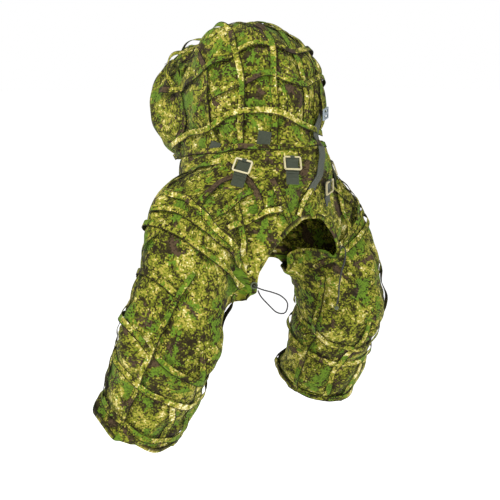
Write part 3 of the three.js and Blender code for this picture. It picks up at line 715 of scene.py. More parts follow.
def flat_spots(p):
    """One under the ring buckles and the chest webbing, which need level cloth, and zero elsewhere."""
    out = np.zeros(len(p))
    for k in range(1, 5):
        centre = np.array(sum(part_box(f"ring_buckle_{k}"), Vector())) / 2
        out = np.maximum(out, np.exp(-((((p - centre) ** 2).sum(-1)) / 0.038**2)))
    chest_side = np.clip(-p[:, 1] / 0.03 - 2, 0, 1) * np.clip((0.150 - np.abs(p[:, 0])) / 0.03, 0, 1)
    for z in CHEST_LEVELS:
        out = np.maximum(out, chest_side * np.exp(-(((p[:, 2] - z) / 0.030) ** 2)))
    return out


# Where the cloth is loose and stands out from the form: centre, and how far, in mm.
LOOSE = [
    ((110, -123, -27), 8), ((150, -85, -30), 20), ((200, -42, -54), 25), ((238, -34, -88), 28),
    ((248, -48, -120), 26), ((278, -14, -165), 20), ((274, -32, -205), 24), ((305, -20, -250), 22),
    ((335, -10, -300), 25), ((342, -16, -340), 28), ((326, -70, -384), 14), ((196, 66, -296), -14),
    ((190, 60, -330), -22), ((196, 52, -362), -10), ((-228, 80, -150), 14), ((-244, 82, -213), 28),
    ((-255, 86, -250), 24), ((-256, 93, -283), 18), ((-278, 90, -322), 9), ((84, -58, 268), 13),
    ((40, -177, 236), 17), ((98, -250, 112), 10), ((102, -226, 68), 10), ((66, -246, 42), 6),
]
LOOSE_REACH = 0.050
RING_PAD = 0.0015


def looseness(p):
    total, weight = np.zeros(len(p)), np.zeros(len(p))
    for centre, amount in LOOSE:
        w = np.exp(-((p - np.array(centre) / 1000) ** 2).sum(-1) / LOOSE_REACH**2)
        total += w * amount / 1000
        weight += w
    return total / np.maximum(weight, 1)


def garment_base():
    points, quads = lattice_surface()
    bm = bmesh.new()
    for p in points:
        bm.verts.new(p)
    bm.verts.ensure_lookup_table()
    for q in quads:
        bm.faces.new([bm.verts[i] for i in q])
    for level in cut_levels():
        trim(bm, level)
    keep_largest(bm)
    bmesh.ops.recalc_face_normals(bm, faces=bm.faces)
    co = np.array([v.co for v in bm.verts])
    if (
        np.array([f.normal for f in bm.faces]) * outward([f.calc_center_median() for f in bm.faces])
    ).sum() < 0:
        bmesh.ops.reverse_faces(bm, faces=bm.faces)
    flat = flat_spots(co)
    lift = (folds(co) + looseness(co)) * (1 - flat) + RING_PAD * flat
    for v, d, n in zip(bm.verts, lift, outward(co)):
        v.co += Vector(n * d)
    bm.normal_update()
    return bm


DRAPE_FRAMES = 26
DRAPE_REACH = 0.014


def relax(bm):
    """Drapes the cloth: it has a little more fabric than the form, and hangs from it under gravity."""
    rest = np.array([v.co for v in bm.verts])
    edge = np.array([v.is_boundary for v in bm.verts])
    tree = KDTree(int(edge.sum()))
    for i in np.flatnonzero(edge):
        tree.insert(rest[i], int(i))
    tree.balance()
    away = np.array([tree.find(p)[2] for p in rest])
    seam = np.abs((rest - NECK_POINT) @ NECK_NORMAL)
    top = np.clip(outward(rest)[:, 2], 0, 1)
    firm = 0.10 + 0.35 * np.exp(-away / 0.02) + 0.5 * np.exp(-seam / 0.012) + 0.22 * top
    firm = np.clip(firm + 0.6 * flat_spots(rest), 0.05, 0.95)
    mesh = bpy.data.meshes.new("drape")
    bm.to_mesh(mesh)
    made = bpy.data.objects.new("drape", mesh)
    COLLECTION.objects.link(made)
    group = made.vertex_groups.new(name="firm")
    for i, w in enumerate(firm):
        group.add([i], float(w), "REPLACE")
    cloth = made.modifiers.new("cloth", "CLOTH")
    settings = cloth.settings
    settings.quality = 4
    settings.mass = 0.25
    settings.tension_stiffness = 22
    settings.compression_stiffness = 12
    settings.shear_stiffness = 8
    settings.bending_stiffness = 0.6
    settings.air_damping = 1.5
    settings.vertex_group_mass = "firm"
    settings.pin_stiffness = 0.35
    settings.shrink_min = -0.055
    cloth.collision_settings.use_collision = False
    cloth.collision_settings.use_self_collision = False
    cloth.point_cache.frame_start = 1
    cloth.point_cache.frame_end = DRAPE_FRAMES
    for f in range(1, DRAPE_FRAMES + 1):
        SCENE.frame_set(f)
    shown = made.evaluated_get(bpy.context.evaluated_depsgraph_get())
    draped = np.zeros(len(rest) * 3, np.float32)
    shown.data.vertices.foreach_get("co", draped)
    draped = draped.reshape(-1, 3).astype(float)
    SCENE.frame_set(1)
    bpy.data.objects.remove(made)
    move = draped - rest
    size = np.linalg.norm(move, axis=1, keepdims=True)
    move *= np.minimum(1, DRAPE_REACH / np.maximum(size, 1e-9))
    for v, m in zip(bm.verts, move):
        v.co += Vector(m)


garment = garment_base()
relax(garment)
bmesh.ops.smooth_vert(
    garment,
    verts=[v for v in garment.verts if not v.is_boundary],
    factor=0.25,
    use_axis_x=True,
    use_axis_y=True,
    use_axis_z=True,
)
garment_tree = BVHTree.FromBMesh(garment)


def on_hood(lateral, rise):
    side, climb = math.radians(lateral), math.radians(rise)
    direction = (math.sin(side), -math.cos(side) * math.cos(climb), math.cos(side) * math.sin(climb))
    return np.array(direction)


# ---------------------------------------------------------------------------------------------
# Flat strips that lie on the cloth.


class Soup:
    """Points, quads, UVs and per-point values gathered into one mesh."""

    def __init__(self):
        self.points, self.faces, self.uv, self.tone, self.edge = [], [], [], [], []

    def add(self, points, faces, uv, tone, edge):
        base = len(self.points)
        self.points.extend(points)
        self.faces.extend([[base + i for i in f] for f in faces])
        self.uv.extend([uv[i] for f in faces for i in f])
        self.tone.extend([tone] * len(points))
        self.edge.extend(edge)


def clear_of_cloth(p, least):
    """Moves points out of the cloth until each is at least that far above it."""
    found = [garment_tree.find_nearest(Vector(q), 0.03)[0] for q in p]
    near = np.array([q if f is None else f for q, f in zip(p, found)])
    n = outward(near)
    height = ((p - near) * n).sum(-1)
    height[[f is None for f in found]] = 1
    return p + n * np.maximum(least - height, 0)[:, None]


# A strip's lower edge stands off the cloth, and a dark line is painted along it as its shadow.
SHADOW_SIDE = np.array((-0.5, 0.48, -0.7))


def ribbon(
    soup, line, normals, width, thick=0.0012, tilt=0.0, tone=0.0, rim=0.0020, clear=0.0008, closed=False
):
    """A strip along a line, with its own UVs: u along it and v across it, in metres."""
    line, normals = np.asarray(line), unit(np.asarray(normals))
    middle = len(line) // 2
    across = np.cross(normals[middle], line[(middle + 1) % len(line)] - line[middle])
    if across @ SHADOW_SIDE < 0:
        line, normals, tilt = line[::-1], normals[::-1], np.broadcast_to(tilt, len(line))[::-1]
    if closed:
        tangent = np.roll(line, -1, 0) - np.roll(line, 1, 0)
    else:
        tangent = np.gradient(line, axis=0)
    tangent = unit(tangent)
    side = unit(np.cross(normals, tangent))
    up = np.cross(tangent, side)
    half = width / 2
    # The last two columns bound the painted shadow line along the raised side.
    columns = [-half, half - rim, half - rim + 0.0003, half]
    tilt = np.broadcast_to(tilt, len(line))
    points, uv, edge = [], [], []
    run = 0.0
    start = float(RNG.uniform(0, 4))
    sections = []
    for c in columns:
        q = line + side * c + up * (tilt * (c / width + 0.5))[:, None]
        sections.append(clear_of_cloth(q, clear) if clear > 0 else q)
    for i, p in enumerate(line):
        if i:
            run += float(np.linalg.norm(p - line[i - 1]))
        for layer in (1, 0):
            for c, q in zip(columns, sections):
                points.append(q[i] + up[i] * (thick if layer else 0))
                uv.append((start + run, start * 0.37 + c))
                # Painted shadow and shade: the raised side's rim and the whole underside are marked dark.
                edge.append(1.0 if c > half - rim or not layer else 0.0)
    n = len(columns)
    ring = list(range(n)) + list(range(2 * n - 1, n - 1, -1))
    spans = len(line) if closed else len(line) - 1
    faces = []
    for i in range(spans):
        a, b = 2 * n * i, 2 * n * ((i + 1) % len(line))
        for k in range(2 * n):
            j, m = ring[k], ring[(k + 1) % (2 * n)]
            faces.append([a + m, a + j, b + j, b + m])
    if not closed:
        last = 2 * n * (len(line) - 1)
        for k in range(n - 1):
            faces.append([k, k + 1, n + k + 1, n + k])
            faces.append([last + k + 1, last + k, last + n + k, last + n + k + 1])
    soup.add(points, faces, uv, tone, edge)


strip_paths = []


def laid(line, lift=0.0024, slack=0.0034, tack=0.085, soften=2, loops=()):
    """A line lifted off the cloth: sewn down at intervals, and slack between them.
    loops are (place, height, reach) of the spots where it stands well off."""
    line = np.asarray(line)
    strip_paths.append(line)
    normals = outward(line)
    run = np.concatenate([[0], np.cumsum(np.linalg.norm(np.diff(line, axis=0), axis=1))])
    total = run[-1]
    sewn = max(1, round(total / tack))
    wave = np.abs(np.sin(math.pi * run / total * sewn))
    ends = np.clip(np.minimum(run, total - run) / 0.012, 0, 1)
    height = (lift + slack * wave) * ends + 0.0004
    for place, rise, reach in loops:
        d = np.abs(run / total - place) / reach
        height += rise * np.where(d < 1, (0.5 + 0.5 * np.cos(math.pi * np.minimum(d, 1))) ** 0.8, 0)
    height = height * (1 - 0.75 * flat_spots(line))
    line = line + normals * height[:, None]
    for _ in range(soften):
        line[1:-1] = 0.5 * line[1:-1] + 0.25 * (line[2:] + line[:-2])
    return line, normals, wave * ends


def cast(origin, direction):
    hit = garment_tree.ray_cast(Vector(origin), Vector(direction))
    return None if hit[0] is None else np.array(hit[0])


def longest_run(points, spacing):
    """The longest stretch of hits that follow each other without a gap or a jump."""
    runs = [[]]
    for p in points:
        if p is None:
            runs.append([])
        elif runs[-1] and np.linalg.norm(p - runs[-1][-1]) > 4 * spacing:
            runs.append([p])
        else:
            runs[-1].append(p)
    return np.array(max(runs, key=len))


def hood_line(controls, spacing=0.006):
    directions = curve_through([on_hood(*c) for c in controls], spacing / 0.17)
    return longest_run([cast(HOOD_CENTRE, d) for d in unit(directions)], spacing)


def sleeve_line(arm, controls, spacing=0.006):
    flat = [(t / 1000, a * 0.0016, 0) for a, t in controls]
    return longest_run([cast(*arm.ray(t, a / 0.0016)) for t, a, _ in curve_through(flat, spacing)], spacing)


def body_line(controls, spacing=0.006):
    points = curve_through(np.array(controls) / 1000, spacing)
    hits = [garment_tree.find_nearest(Vector(p), 0.06)[0] for p in points]
    return longest_run([None if h is None else np.array(h) for h in hits], spacing)


STRIP = 0.013
# Each strip is (tone, loops, [(lateral, rise), ...]): lateral tips the ray to the wearer's left, and
# rise runs from the face (0) over the crown (90) to the nape (180) and on under the chin.
HOOD_LENGTHWISE = [
    (0.02, [(0.12, 0.012, 0.10)], [(9, 24), (8, 80), (7, 115), (14, 140), (21, 163), (21, 180), (19, 205)]),
    (
        0.10,
        [(0.12, 0.022, 0.12)],
        [(27, 20), (26, 70), (25, 104), (35, 129), (40, 158), (43, 180), (39, 211)],
    ),
    (-0.04, [(0.07, 0.020, 0.10)], [(40, 34), (41, 75), (61, 125), (71, 162), (66, 214), (52, 230)]),
    (-0.16, [(0.10, 0.018, 0.16)], [(30, 40), (36, 22), (61, 11), (62, -33), (44, -46)]),
]
HOOD_ROUND = [
    (
        -0.06,
        [(0.03, 0.014, 0.06)],
        [(3, 144), (12, 138), (24, 133), (38, 129), (52, 120), (63, 103), (64, 50), (51, 20), (34, 10)],
    ),
    (-0.02, [], [(2, 166), (24, 156), (43, 158), (69, 159)]),
    (
        0.13,
        [],
        [
            (-62, 235), (-52, 214), (-30, 203), (-12, 196), (2, 191), (12, 186), (22, 182),
            (43, 183), (53, 189), (64, 222), (60, 300), (31, 324),
        ],
    ),
]


def hood_strips(soup):
    for side in (1, -1):
        for tone, loops, controls in HOOD_LENGTHWISE:
            drift = 0 if side > 0 else 2
            line = hood_line([(side * (a + drift), b - 2 * drift) for a, b in controls])
            path, normals, wave = laid(line, loops=loops)
            ribbon(soup, path, normals, STRIP, tilt=0.0028 * wave, tone=tone * (1 if side > 0 else 0.4))
    line = hood_line([(-9, 24), (-9, 100), (-2, 138), (-1, 165), (-3, 193)])
    path, normals, wave = laid(line)
    ribbon(soup, path, normals, STRIP, tilt=0.0022 * wave, tone=0.04)
    for tone, loops, controls in HOOD_ROUND:
        mirrored = [(-a, b + 3) for a, b in reversed(controls) if a > 5] if controls[0][0] > 0 else []
        line = hood_line(mirrored + controls)
        path, normals, wave = laid(
            line, lift=0.0036, loops=[(1 - loops[0][0], *loops[0][1:])] if loops else []
        )
        ribbon(soup, path, normals, STRIP, tilt=0.002 * wave, tone=tone)


# Sleeve strips are (tone, [(angle from the back, distance from the shoulder in mm), ...]).
SLEEVE_STRIPS = [
    (0.02, [(100, -2), (62, -6), (16, 21), (-24, 48), (-57, 74)]),
    (0.08, [(130, 30), (85, 26), (48, 41), (11, 66), (-49, 102), (-75, 118)]),
    (-0.04, [(210, 160), (150, 128), (95, 122), (63, 136), (32, 165)]),
    (-0.05, [(215, 236), (150, 214), (110, 216), (72, 234), (41, 256)]),
    (0.03, [(44, 250), (7, 262), (-30, 270), (-80, 262), (-140, 238)]),
    (0.12, [(220, 330), (150, 310), (100, 305), (57, 316), (-2, 322), (-40, 330), (-100, 322), (-138, 330)]),
    (0.02, [(225, 428), (150, 424), (88, 420), (44, 415), (-4, 421), (-60, 426), (-134, 428)]),
    (0.04, [(20, 112), (38, 181), (46, 240), (46, 335), (44, 430)]),
    (-0.08, [(78, 44), (97, 115), (100, 200), (100, 300), (98, 430)]),
    (0.03, [(-10, 235), (-28, 290), (-38, 340), (-38, 430)]),
    (0.10, [(-2, 326), (-12, 380), (-14, 428)]),
    (0.02, [(150, 50), (156, 150), (152, 300), (150, 430)]),
    (-0.05, [(-70, 130), (-86, 220), (-92, 320), (-90, 430)]),
]
# Yoke strips are (tone, points near the cloth in mm).
YOKE_STRIPS = [
    (0.16, [(226, -28, -52), (182, -22, -32), (152, -12, -12), (130, 30, 6)]),
    (-0.10, [(232, 61, -64), (174, 52, -39), (133, 63, -15)]),
    (0.0, [(208, 90, -93), (149, 84, -65), (114, 96, -46)]),
    (-0.18, [(134, 40, 4), (123, 76, -15), (113, 94, -38), (108, 104, -64), (106, 108, -104)]),
    (
        0.06,
        [
            (240, -30, -60), (243, 20, -51), (236, 61, -67), (228, 78, -86), (203, 97, -120),
            (165, 98, -165), (146, 96, -196),
        ],
    ),
    (0.0, [(147, 85, -63), (148, 97, -92), (144, 102, -120), (140, 104, -170)]),
    (0.04, [(176, 95, -113), (136, 105, -104), (100, 114, -90), (59, 123, -85)]),
    (-0.06, [(79, 114, -22), (65, 120, -62), (50, 126, -92), (44, 131, -116)]),
    (0.10, [(-22, 131, -30), (4, 127, -75), (16, 130, -103)]),
    (-0.04, [(-148, 45, -26), (-152, 88, -74), (-148, 102, -118), (-141, 103, -159), (-138, 100, -205)]),
    (0.02, [(-208, 66, -70), (-160, 58, -38), (-120, 68, -14)]),
    (0.0, [(-196, 88, -96), (-140, 90, -68), (-96, 104, -50)]),
    (0.05, [(-222, -20, -60), (-226, 30, -56), (-214, 72, -88), (-186, 94, -126), (-152, 98, -176)]),
    (0.14, [(-200, -34, -50), (-160, -26, -26), (-126, 20, 4)]),
    (0.0, [(24, -140, -60), (90, -118, -60), (150, -78, -60)]),
    (-0.06, [(44, -136, -10), (70, -128, -100), (92, -112, -222)]),
    (0.0, [(-24, -140, -60), (-90, -118, -60), (-146, -78, -60)]),
    (0.06, [(-44, -136, -10), (-70, -128, -100), (-92, -112, -222)]),
    (0.05, [(26, -140, -128), (80, -128, -128), (134, -90, -132)]),
    (-0.04, [(-26, -140, -128), (-80, -128, -128), (-130, -90, -132)]),
]


YOKE_LOOPS = (4, 5, 9, 12)


def body_strips(soup):
    for side, arm in arms.items():
        for k, (tone, controls) in enumerate(SLEEVE_STRIPS):
            drift = 0 if side == "left" else 7 * (-1) ** k
            line = sleeve_line(arm, [(a + drift * 0.5, t + drift * 0.6) for a, t in controls])
            path, normals, wave = laid(line, lift=0.0022 + 0.0010 * (k < 7))
            ribbon(soup, path, normals, STRIP, tilt=0.0028 * wave, tone=tone)
    for k, (tone, controls) in enumerate(YOKE_STRIPS):
        loops = [(0.72, 0.011, 0.2)] if k in YOKE_LOOPS else []
        path, normals, wave = laid(body_line(controls), lift=0.0022 + 0.0010 * (k % 2), loops=loops)
        ribbon(soup, path, normals, STRIP, tilt=0.0028 * wave, tone=tone)


# ---------------------------------------------------------------------------------------------
# Seam tape, bindings and the placket.


def boundary_loops(bm):
    """Closed runs of boundary vertices."""
    edges = dict.fromkeys(e for e in bm.edges if e.is_boundary)
    loops = []
    while edges:
        e = next(iter(edges))
        del edges[e]
        loop = [e.verts[0], e.verts[1]]
        while loop[-1] is not loop[0]:
            following = [x for x in loop[-1].link_edges if x in edges]
            if not following:
                break
            del edges[following[0]]
            loop.append(following[0].other_vert(loop[-1]))
        loops.append(loop[:-1])
    return loops


def edge_binding(soup, loop, width=0.009, tone=0.0):
    """A folded tape round a free edge: outside, over the edge and back inside."""
    p = np.array([v.co for v in loop])
    tangent = unit(np.roll(p, -1, 0) - np.roll(p, 1, 0))
    for _ in range(2):
        p = 0.5 * p + 0.25 * (np.roll(p, 1, 0) + np.roll(p, -1, 0))
    n = outward(p)
    n = unit(n - (n * tangent).sum(-1, keepdims=True) * tangent)
    into = np.cross(n, tangent)
    centres = np.array([np.mean([f.calc_center_median() for f in v.link_faces], axis=0) for v in loop])
    if ((centres - p) * into).sum() < 0:
        into = -into
    profile = [
        (width, 0.0010), (0.0012, 0.0017), (-0.0014, 0.0004), (-0.0006, -0.0022), (width, -0.0024),
        (width, -0.0016), (0.001, -0.0013), (0.001, 0.0006), (width, 0.0004),
    ]
    m = len(profile)
    points, uv, edge = [], [], []
    run = 0.0
    for i in range(len(p)):
        run += float(np.linalg.norm(p[i] - p[i - 1])) if i else 0
        for k, (a, b) in enumerate(profile):
            points.append(p[i] + into[i] * a + n[i] * b)
            uv.append((run, 0.002 * k))
            # Painted shadow: the tape's two far edges where it meets the cloth, and their end faces, are
            # marked dark.
            edge.append(1.0 if k in (0, 4, 5, 8) else 0.0)
    faces = []
    for i in range(len(p)):
        a, b = m * i, m * ((i + 1) % len(p))
        for k in range(m):
            j = (k + 1) % m
            faces.append([a + k, a + j, b + j, b + k])
    soup.add(points, faces, uv, tone, edge)


# ---------------------------------------------------------------------------------------------
# Splitting what crosses a joint, so that each region is a piece of its own.

# Each sleeve bends from the yoke along a slanting direction through the shoulder, and the forearm
# from the sleeve along the mean of its two halves. A split lies where its bend hasn't started.
SHOULDER_BEND = {
    "left": {"along": unit(np.array((0.866, 0, -0.5))), "start": 0.010, "end": 0.060},
    "right": {"along": unit(np.array((-0.8, 0, -0.6))), "start": 0.010, "end": 0.055},
}
ELBOW_SPLIT = -0.046


def region_of(p):
    """Region index of each point, in the order of REGIONS."""
    region = np.ones(len(p), int)
    region[(p - NECK_POINT) @ NECK_NORMAL > 0] = 0
    for k, (side, arm) in enumerate(arms.items()):
        bend = SHOULDER_BEND[side]
        past = (p - arm.s) @ bend["along"] - bend["start"]
        out = (region == 1) & (p[:, 0] * arm.side > 0.04) & (past > 0)
        low = out & ((p - arm.e) @ arm.mean > ELBOW_SPLIT)
        region[out] = 2 + 2 * k
        region[low] = 3 + 2 * k
    return region


REGIONS = ["hood", "yoke", "left_sleeve", "left_forearm", "right_sleeve", "right_forearm"]


def split_planes():
    planes = [(NECK_POINT, NECK_NORMAL, lambda c: np.abs(c[:, 0]) < 0.2)]
    for side, arm in arms.items():
        bend = SHOULDER_BEND[side]
        below = (lambda s: lambda c: (c[:, 0] * s > 0.04) & ((c - NECK_POINT) @ NECK_NORMAL < 0))(arm.side)
        planes.append((arm.s + bend["along"] * bend["start"], bend["along"], below))
        low = (lambda s: lambda c: (c[:, 0] * s > 0.06) & (c[:, 2] < -0.2))(arm.side)
        planes.append((arm.e + arm.mean * ELBOW_SPLIT, arm.mean, low))
    return planes


def slice_mesh(bm):
    for point, normal, here in split_planes():
        centres = np.array([f.calc_center_median() for f in bm.faces])
        wanted = here(centres)
        faces = [f for f, w in zip(bm.faces, wanted) if w]
        geometry = dict.fromkeys(faces)
        for f in faces:
            geometry.update(dict.fromkeys(f.edges))
            geometry.update(dict.fromkeys(f.verts))
        bmesh.ops.bisect_plane(bm, geom=list(geometry), plane_co=point, plane_no=normal, dist=1e-5)


def attach(made, region):
    """Hood and yoke pieces ride on their body; sleeve and forearm pieces keep their world place with no
    parent.
    """
    if region in ("hood", "yoke"):
        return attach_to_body(made, region)
    side, kind = region.split("_")
    if kind == "sleeve":
        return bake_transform(made)
    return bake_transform(made)


def soup_pieces(soup, suffix, material, replaces):
    """The soup as one object for each region that it reaches."""
    bm = bmesh.new()
    tone = bm.verts.layers.float.new("tone")
    edge = bm.verts.layers.float.new("edge")
    uv = bm.loops.layers.uv.new("UVMap")
    verts = []
    for p, a, b in zip(soup.points, soup.tone, soup.edge):
        v = bm.verts.new(p)
        v[tone], v[edge] = a, b
        verts.append(v)
    k = 0
    for f in soup.faces:
        face = bm.faces.new([verts[i] for i in f])
        for loop in face.loops:
            loop[uv].uv = soup.uv[k]
            k += 1
    slice_mesh(bm)
    regions = region_of(np.array([f.calc_center_median() for f in bm.faces]))
    made = {}
    for r, name in enumerate(REGIONS):
        if not (regions == r).any():
            continue
        part = bm.copy()
        part.faces.ensure_lookup_table()
        gone = [part.faces[i] for i in np.flatnonzero(regions != r)]
        bmesh.ops.delete(part, geom=gone, context="FACES")
        mesh = bpy.data.meshes.new(name + suffix)
        part.to_mesh(mesh)
        part.free()
        mesh.polygons.foreach_set("use_smooth", [True] * len(mesh.polygons))
        mesh.set_sharp_from_angle(angle=math.radians(50))
        mesh.materials.append(material)
        piece = bpy.data.objects.new(name + suffix, mesh)
        COLLECTION.objects.link(piece)
        attach(piece, name)
        nodes = replaces.get(name, [])
        if nodes:
            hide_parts(*nodes)
        made[name] = piece
    bm.free()
    return made


def cinch():
    """The cloth is drawn in where the strips are sewn to it, and puffs up between them."""
    tree = KDTree(sum(len(line) for line in strip_paths))
    for i, p in enumerate(p for line in strip_paths for p in line):
        tree.insert(p, i)
    tree.balance()
    co = np.array([v.co for v in garment.verts])
    away = np.array([tree.find(p)[2] for p in co])
    free = np.array([0.0 if v.is_boundary else 1.0 for v in garment.verts])
    move = (0.0022 - 0.0056 * np.exp(-((away / 0.014) ** 2))) * free * (1 - flat_spots(co))
    for v, n, d in zip(garment.verts, outward(co), move):
        v.co += Vector(n * d)


hood_strips(Soup())
body_strips(Soup())
cinch()
garment_tree = BVHTree.FromBMesh(garment)
net = Soup()
hood_strips(net)
body_strips(net)
net_pieces = soup_pieces(
    net,
    "_strips",
    NETTING,
    {
        "hood": ["hood_garnish_net"],
        "yoke": ["yoke_back_garnish_net", "left_front_garnish_net", "right_front_garnish_net"],
        "left_sleeve": ["left_upper_garnish_net"],
        "left_forearm": ["left_lower_garnish_net"],
        "right_sleeve": ["right_upper_garnish_net"],
        "right_forearm": ["right_lower_garnish_net"],
    },
)

tapes = Soup()
for loop in boundary_loops(garment):
    if len(loop) > 12:
        edge_binding(tapes, loop)
placket = body_line([(0, -150, z) for z in (-2, -60, -120, -180, -226)])
ribbon(tapes, placket + outward(placket) * 0.0016, outward(placket), 0.034, 0.0012, rim=0.002)
# The hood's lower edge is folded up and laps over the yoke.
hem_line = []
for k in range(72):
    turn = 2 * math.pi * k / 72
    flat = np.array((math.sin(turn), -math.cos(turn), 0))
    flat = flat - (flat @ NECK_NORMAL) * NECK_NORMAL
    centre = NECK_POINT + NECK_NORMAL * 0.004 + np.array((0, -0.16, -0.0168))
    hem_line.append(cast(centre, unit(flat)))
hem_line = np.array(hem_line)
hem_line += NECK_NORMAL * (0.0016 * waves(hem_line, 0.09, 8, 9))[:, None]
ribbon(
    tapes,
    hem_line + outward(hem_line) * 0.0022,
    outward(hem_line),
    0.012,
    0.0018,
    tilt=0.0034,
    closed=True,
    tone=-0.06,
)
for x in (-0.045, 0.045):
    seam = hood_line(
        [(math.degrees(math.asin(x / 0.17)) * 1.0, rise) for rise in (24, 60, 100, 140, 180, 196)]
    )
    ribbon(tapes, seam + outward(seam) * 0.0004, outward(seam), 0.008, 0.0008, rim=0.001, tone=-0.05)


def neck_lining():
    """An inner collar, sewn to the yoke below and the hood above."""
    soup = Soup()
    rows, count = 9, len(hem_line)
    inside = hem_line - outward(hem_line) * 0.005
    inside = inside - ((inside - NECK_POINT) @ NECK_NORMAL)[:, None] * NECK_NORMAL
    points, uv = [], []
    for row in range(rows):
        share = row / (rows - 1)
        for k, p in enumerate(inside):
            points.append(p + NECK_NORMAL * (LINING_HALF * (2 * share - 1)))
            uv.append((k * 0.012, share * 0.16))
    faces = []
    for row in range(rows - 1):
        for k in range(count):
            a, b = row * count + k, row * count + (k + 1) % count
            faces.append([a, b, b + count, a + count])
    soup.add(points, faces, uv, 0, [0.0] * len(points))
    made = put_object("neck_lining", soup.points, soup.faces, CLOTH, soup.uv)
    thick = made.modifiers.new("thick", "SOLIDIFY")
    thick.thickness = 0.0008
    bpy.context.view_layer.objects.active = made
    bpy.ops.object.modifier_apply(modifier="thick")
    ends = (NECK_POINT + NECK_NORMAL * (LINING_HALF - 0.001) * k for k in (-1, 1))
    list(ends)
    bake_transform(made)
    return made


LINING_HALF = 0.008
lining = neck_lining()
tape_pieces = soup_pieces(
    tapes,
    "_tapes",
    BINDING,
    {
        "hood": ["hood_face_binding"],
        "yoke": ["back_arch_binding", "left_front_hem", "right_front_hem", "front_placket"],
        "left_forearm": ["left_cuff_binding"],
        "right_forearm": ["right_cuff_binding"],
    },
)

# ---------------------------------------------------------------------------------------------
# The cloth's own pieces.

CROWN_HALF = 0.045
FABRIC = 0.0012


def cloth_uv(points, centres, facing, region):
    """UVs in metres for the corners of faces, laid out panel by panel."""
    name = REGIONS[region]
    x, y, z = points.T
    if name == "hood":
        crown = np.abs(centres[:, 0]) < CROWN_HALF
        over = np.arctan2(z - HOOD_CENTRE[2], y - HOOD_CENTRE[1])
        middle = np.arctan2(centres[:, 2] - HOOD_CENTRE[2], centres[:, 1] - HOOD_CENTRE[1])
        over = over + 2 * math.pi * np.round((middle - over) / (2 * math.pi))
        around = np.arctan2(np.abs(x), HOOD_CENTRE[1] - y)
        climb = np.arctan2(z - 0.06, np.hypot(x, y - HOOD_CENTRE[1]))
        side = np.sign(centres[:, 0])
        flank = np.abs(facing[:, 0]) > 0.62
        u = np.where(flank, y + 3.1 * side, around * 0.15 + 1.3 * side)
        v = np.where(flank, z + 0.2, climb * 0.17 + 0.7)
        return np.stack([np.where(crown, x, u), np.where(crown, over * 0.17, v)], -1)
    if name == "yoke":
        around = np.arctan2(z + 0.112, y) * 0.14
        middle = np.arctan2(centres[:, 2] + 0.112, centres[:, 1]) * 0.14
        turn = 0.28 * math.pi
        around = around + turn * np.round((middle - around) / turn)
        shift = np.where(centres[:, 1] < SHOULDER_SEAM_Y, 0.9, 0.0)
        u, v = x + 2.1 + shift, around + shift
        flank = np.abs(facing[:, 0]) > 0.72
        u, v = np.where(flank, y + 6.4, u), np.where(flank, z, v)
        collar = (centres[:, 2] > -0.045) & (facing[:, 2] < 0.62)
        bearing, home = np.arctan2(x, y), np.arctan2(centres[:, 0], centres[:, 1])
        bearing = bearing + 2 * math.pi * np.round((home - bearing) / (2 * math.pi))
        return np.stack([np.where(collar, bearing * 0.135 + 4.2, u), np.where(collar, z * 1.15, v)], -1)
    arm = arms["left" if name.startswith("left") else "right"]
    t, angle = arm.place(points)
    middle = arm.place(centres)[1]
    angle = angle + 2 * math.pi * np.round((middle - angle) / (2 * math.pi))
    return np.stack([t + 3.7 * arm.side, angle * 0.092], -1)


def cloth_pieces():
    mesh = bpy.data.meshes.new("whole")
    garment.to_mesh(mesh)
    whole = bpy.data.objects.new("whole", mesh)
    COLLECTION.objects.link(whole)
    whole.modifiers.new("finer", "SUBSURF").levels = 1
    fine = bmesh.new()
    fine.from_object(whole, bpy.context.evaluated_depsgraph_get())
    bpy.data.objects.remove(whole)
    slice_mesh(fine)
    fine.normal_update()
    fine.verts.index_update()
    points = np.array([v.co for v in fine.verts])
    normals = np.array([v.normal for v in fine.verts])
    faces = [[v.index for v in f.verts] for f in fine.faces]
    centres = np.array([f.calc_center_median() for f in fine.faces])
    facings = np.array([f.normal for f in fine.faces])
    regions = region_of(centres)
    fine.free()
    replaced = {
        "hood": ["hood_left_panel", "hood_right_panel", "hood_crown_panel", "hood_chin_panel"],
        "yoke": ["yoke_back_panel", "yoke_left_front_panel", "yoke_right_front_panel"],
        "left_sleeve": ["left_sleeve_upper"],
        "left_forearm": ["left_sleeve_lower"],
        "right_sleeve": ["right_sleeve_upper"],
        "right_forearm": ["right_sleeve_lower"],
    }
    made = {}
    for r, name in enumerate(REGIONS):
        mine = [f for f, k in zip(faces, regions) if k == r]
        middle, facing = centres[regions == r], facings[regions == r]
        used = np.unique(np.concatenate([np.array(f) for f in mine]))
        index = {int(v): i for i, v in enumerate(used)}
        local = [[index[v] for v in f] for f in mine]
        outer, n = points[used], normals[used]
        inner = outer - n * FABRIC
        count = len(used)
        edges = {}
        for f in local:
            for a, b in zip(f, f[1:] + f[:1]):
                edges[(a, b)] = edges.get((a, b), 0) + 1
        rim = [[b, a, a + count, b + count] for (a, b) in edges if (b, a) not in edges]
        everything = local + [[count + v for v in reversed(f)] for f in local] + rim
        sizes = [len(f) for f in local]
        corner = outer[np.concatenate(local)]
        uv = cloth_uv(corner, np.repeat(middle, sizes, axis=0), np.repeat(facing, sizes, axis=0), r)
        at = {}
        k = 0
        for f in local:
            for v in f:
                at.setdefault(v, uv[k])
                k += 1
        back, k = [], 0
        for f, size in zip(local, sizes):
            back.extend(uv[k : k + size][::-1])
            k += size
        rim_uv = [at[v % count] for f in rim for v in f]
        whole_uv = np.vstack([uv, np.array(back), np.array(rim_uv).reshape(-1, 2)])
        piece = put_object(
            name + "_cloth",
            np.vstack([outer, inner]),
            everything,
            CLOTH,
            uv=whole_uv,
            normals=np.vstack([n, -n]),
        )
        attach(piece, name)
        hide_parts(*replaced[name])
        made[name] = piece
    return made


cloth_made = cloth_pieces()

# ---------------------------------------------------------------------------------------------
# Webbing.


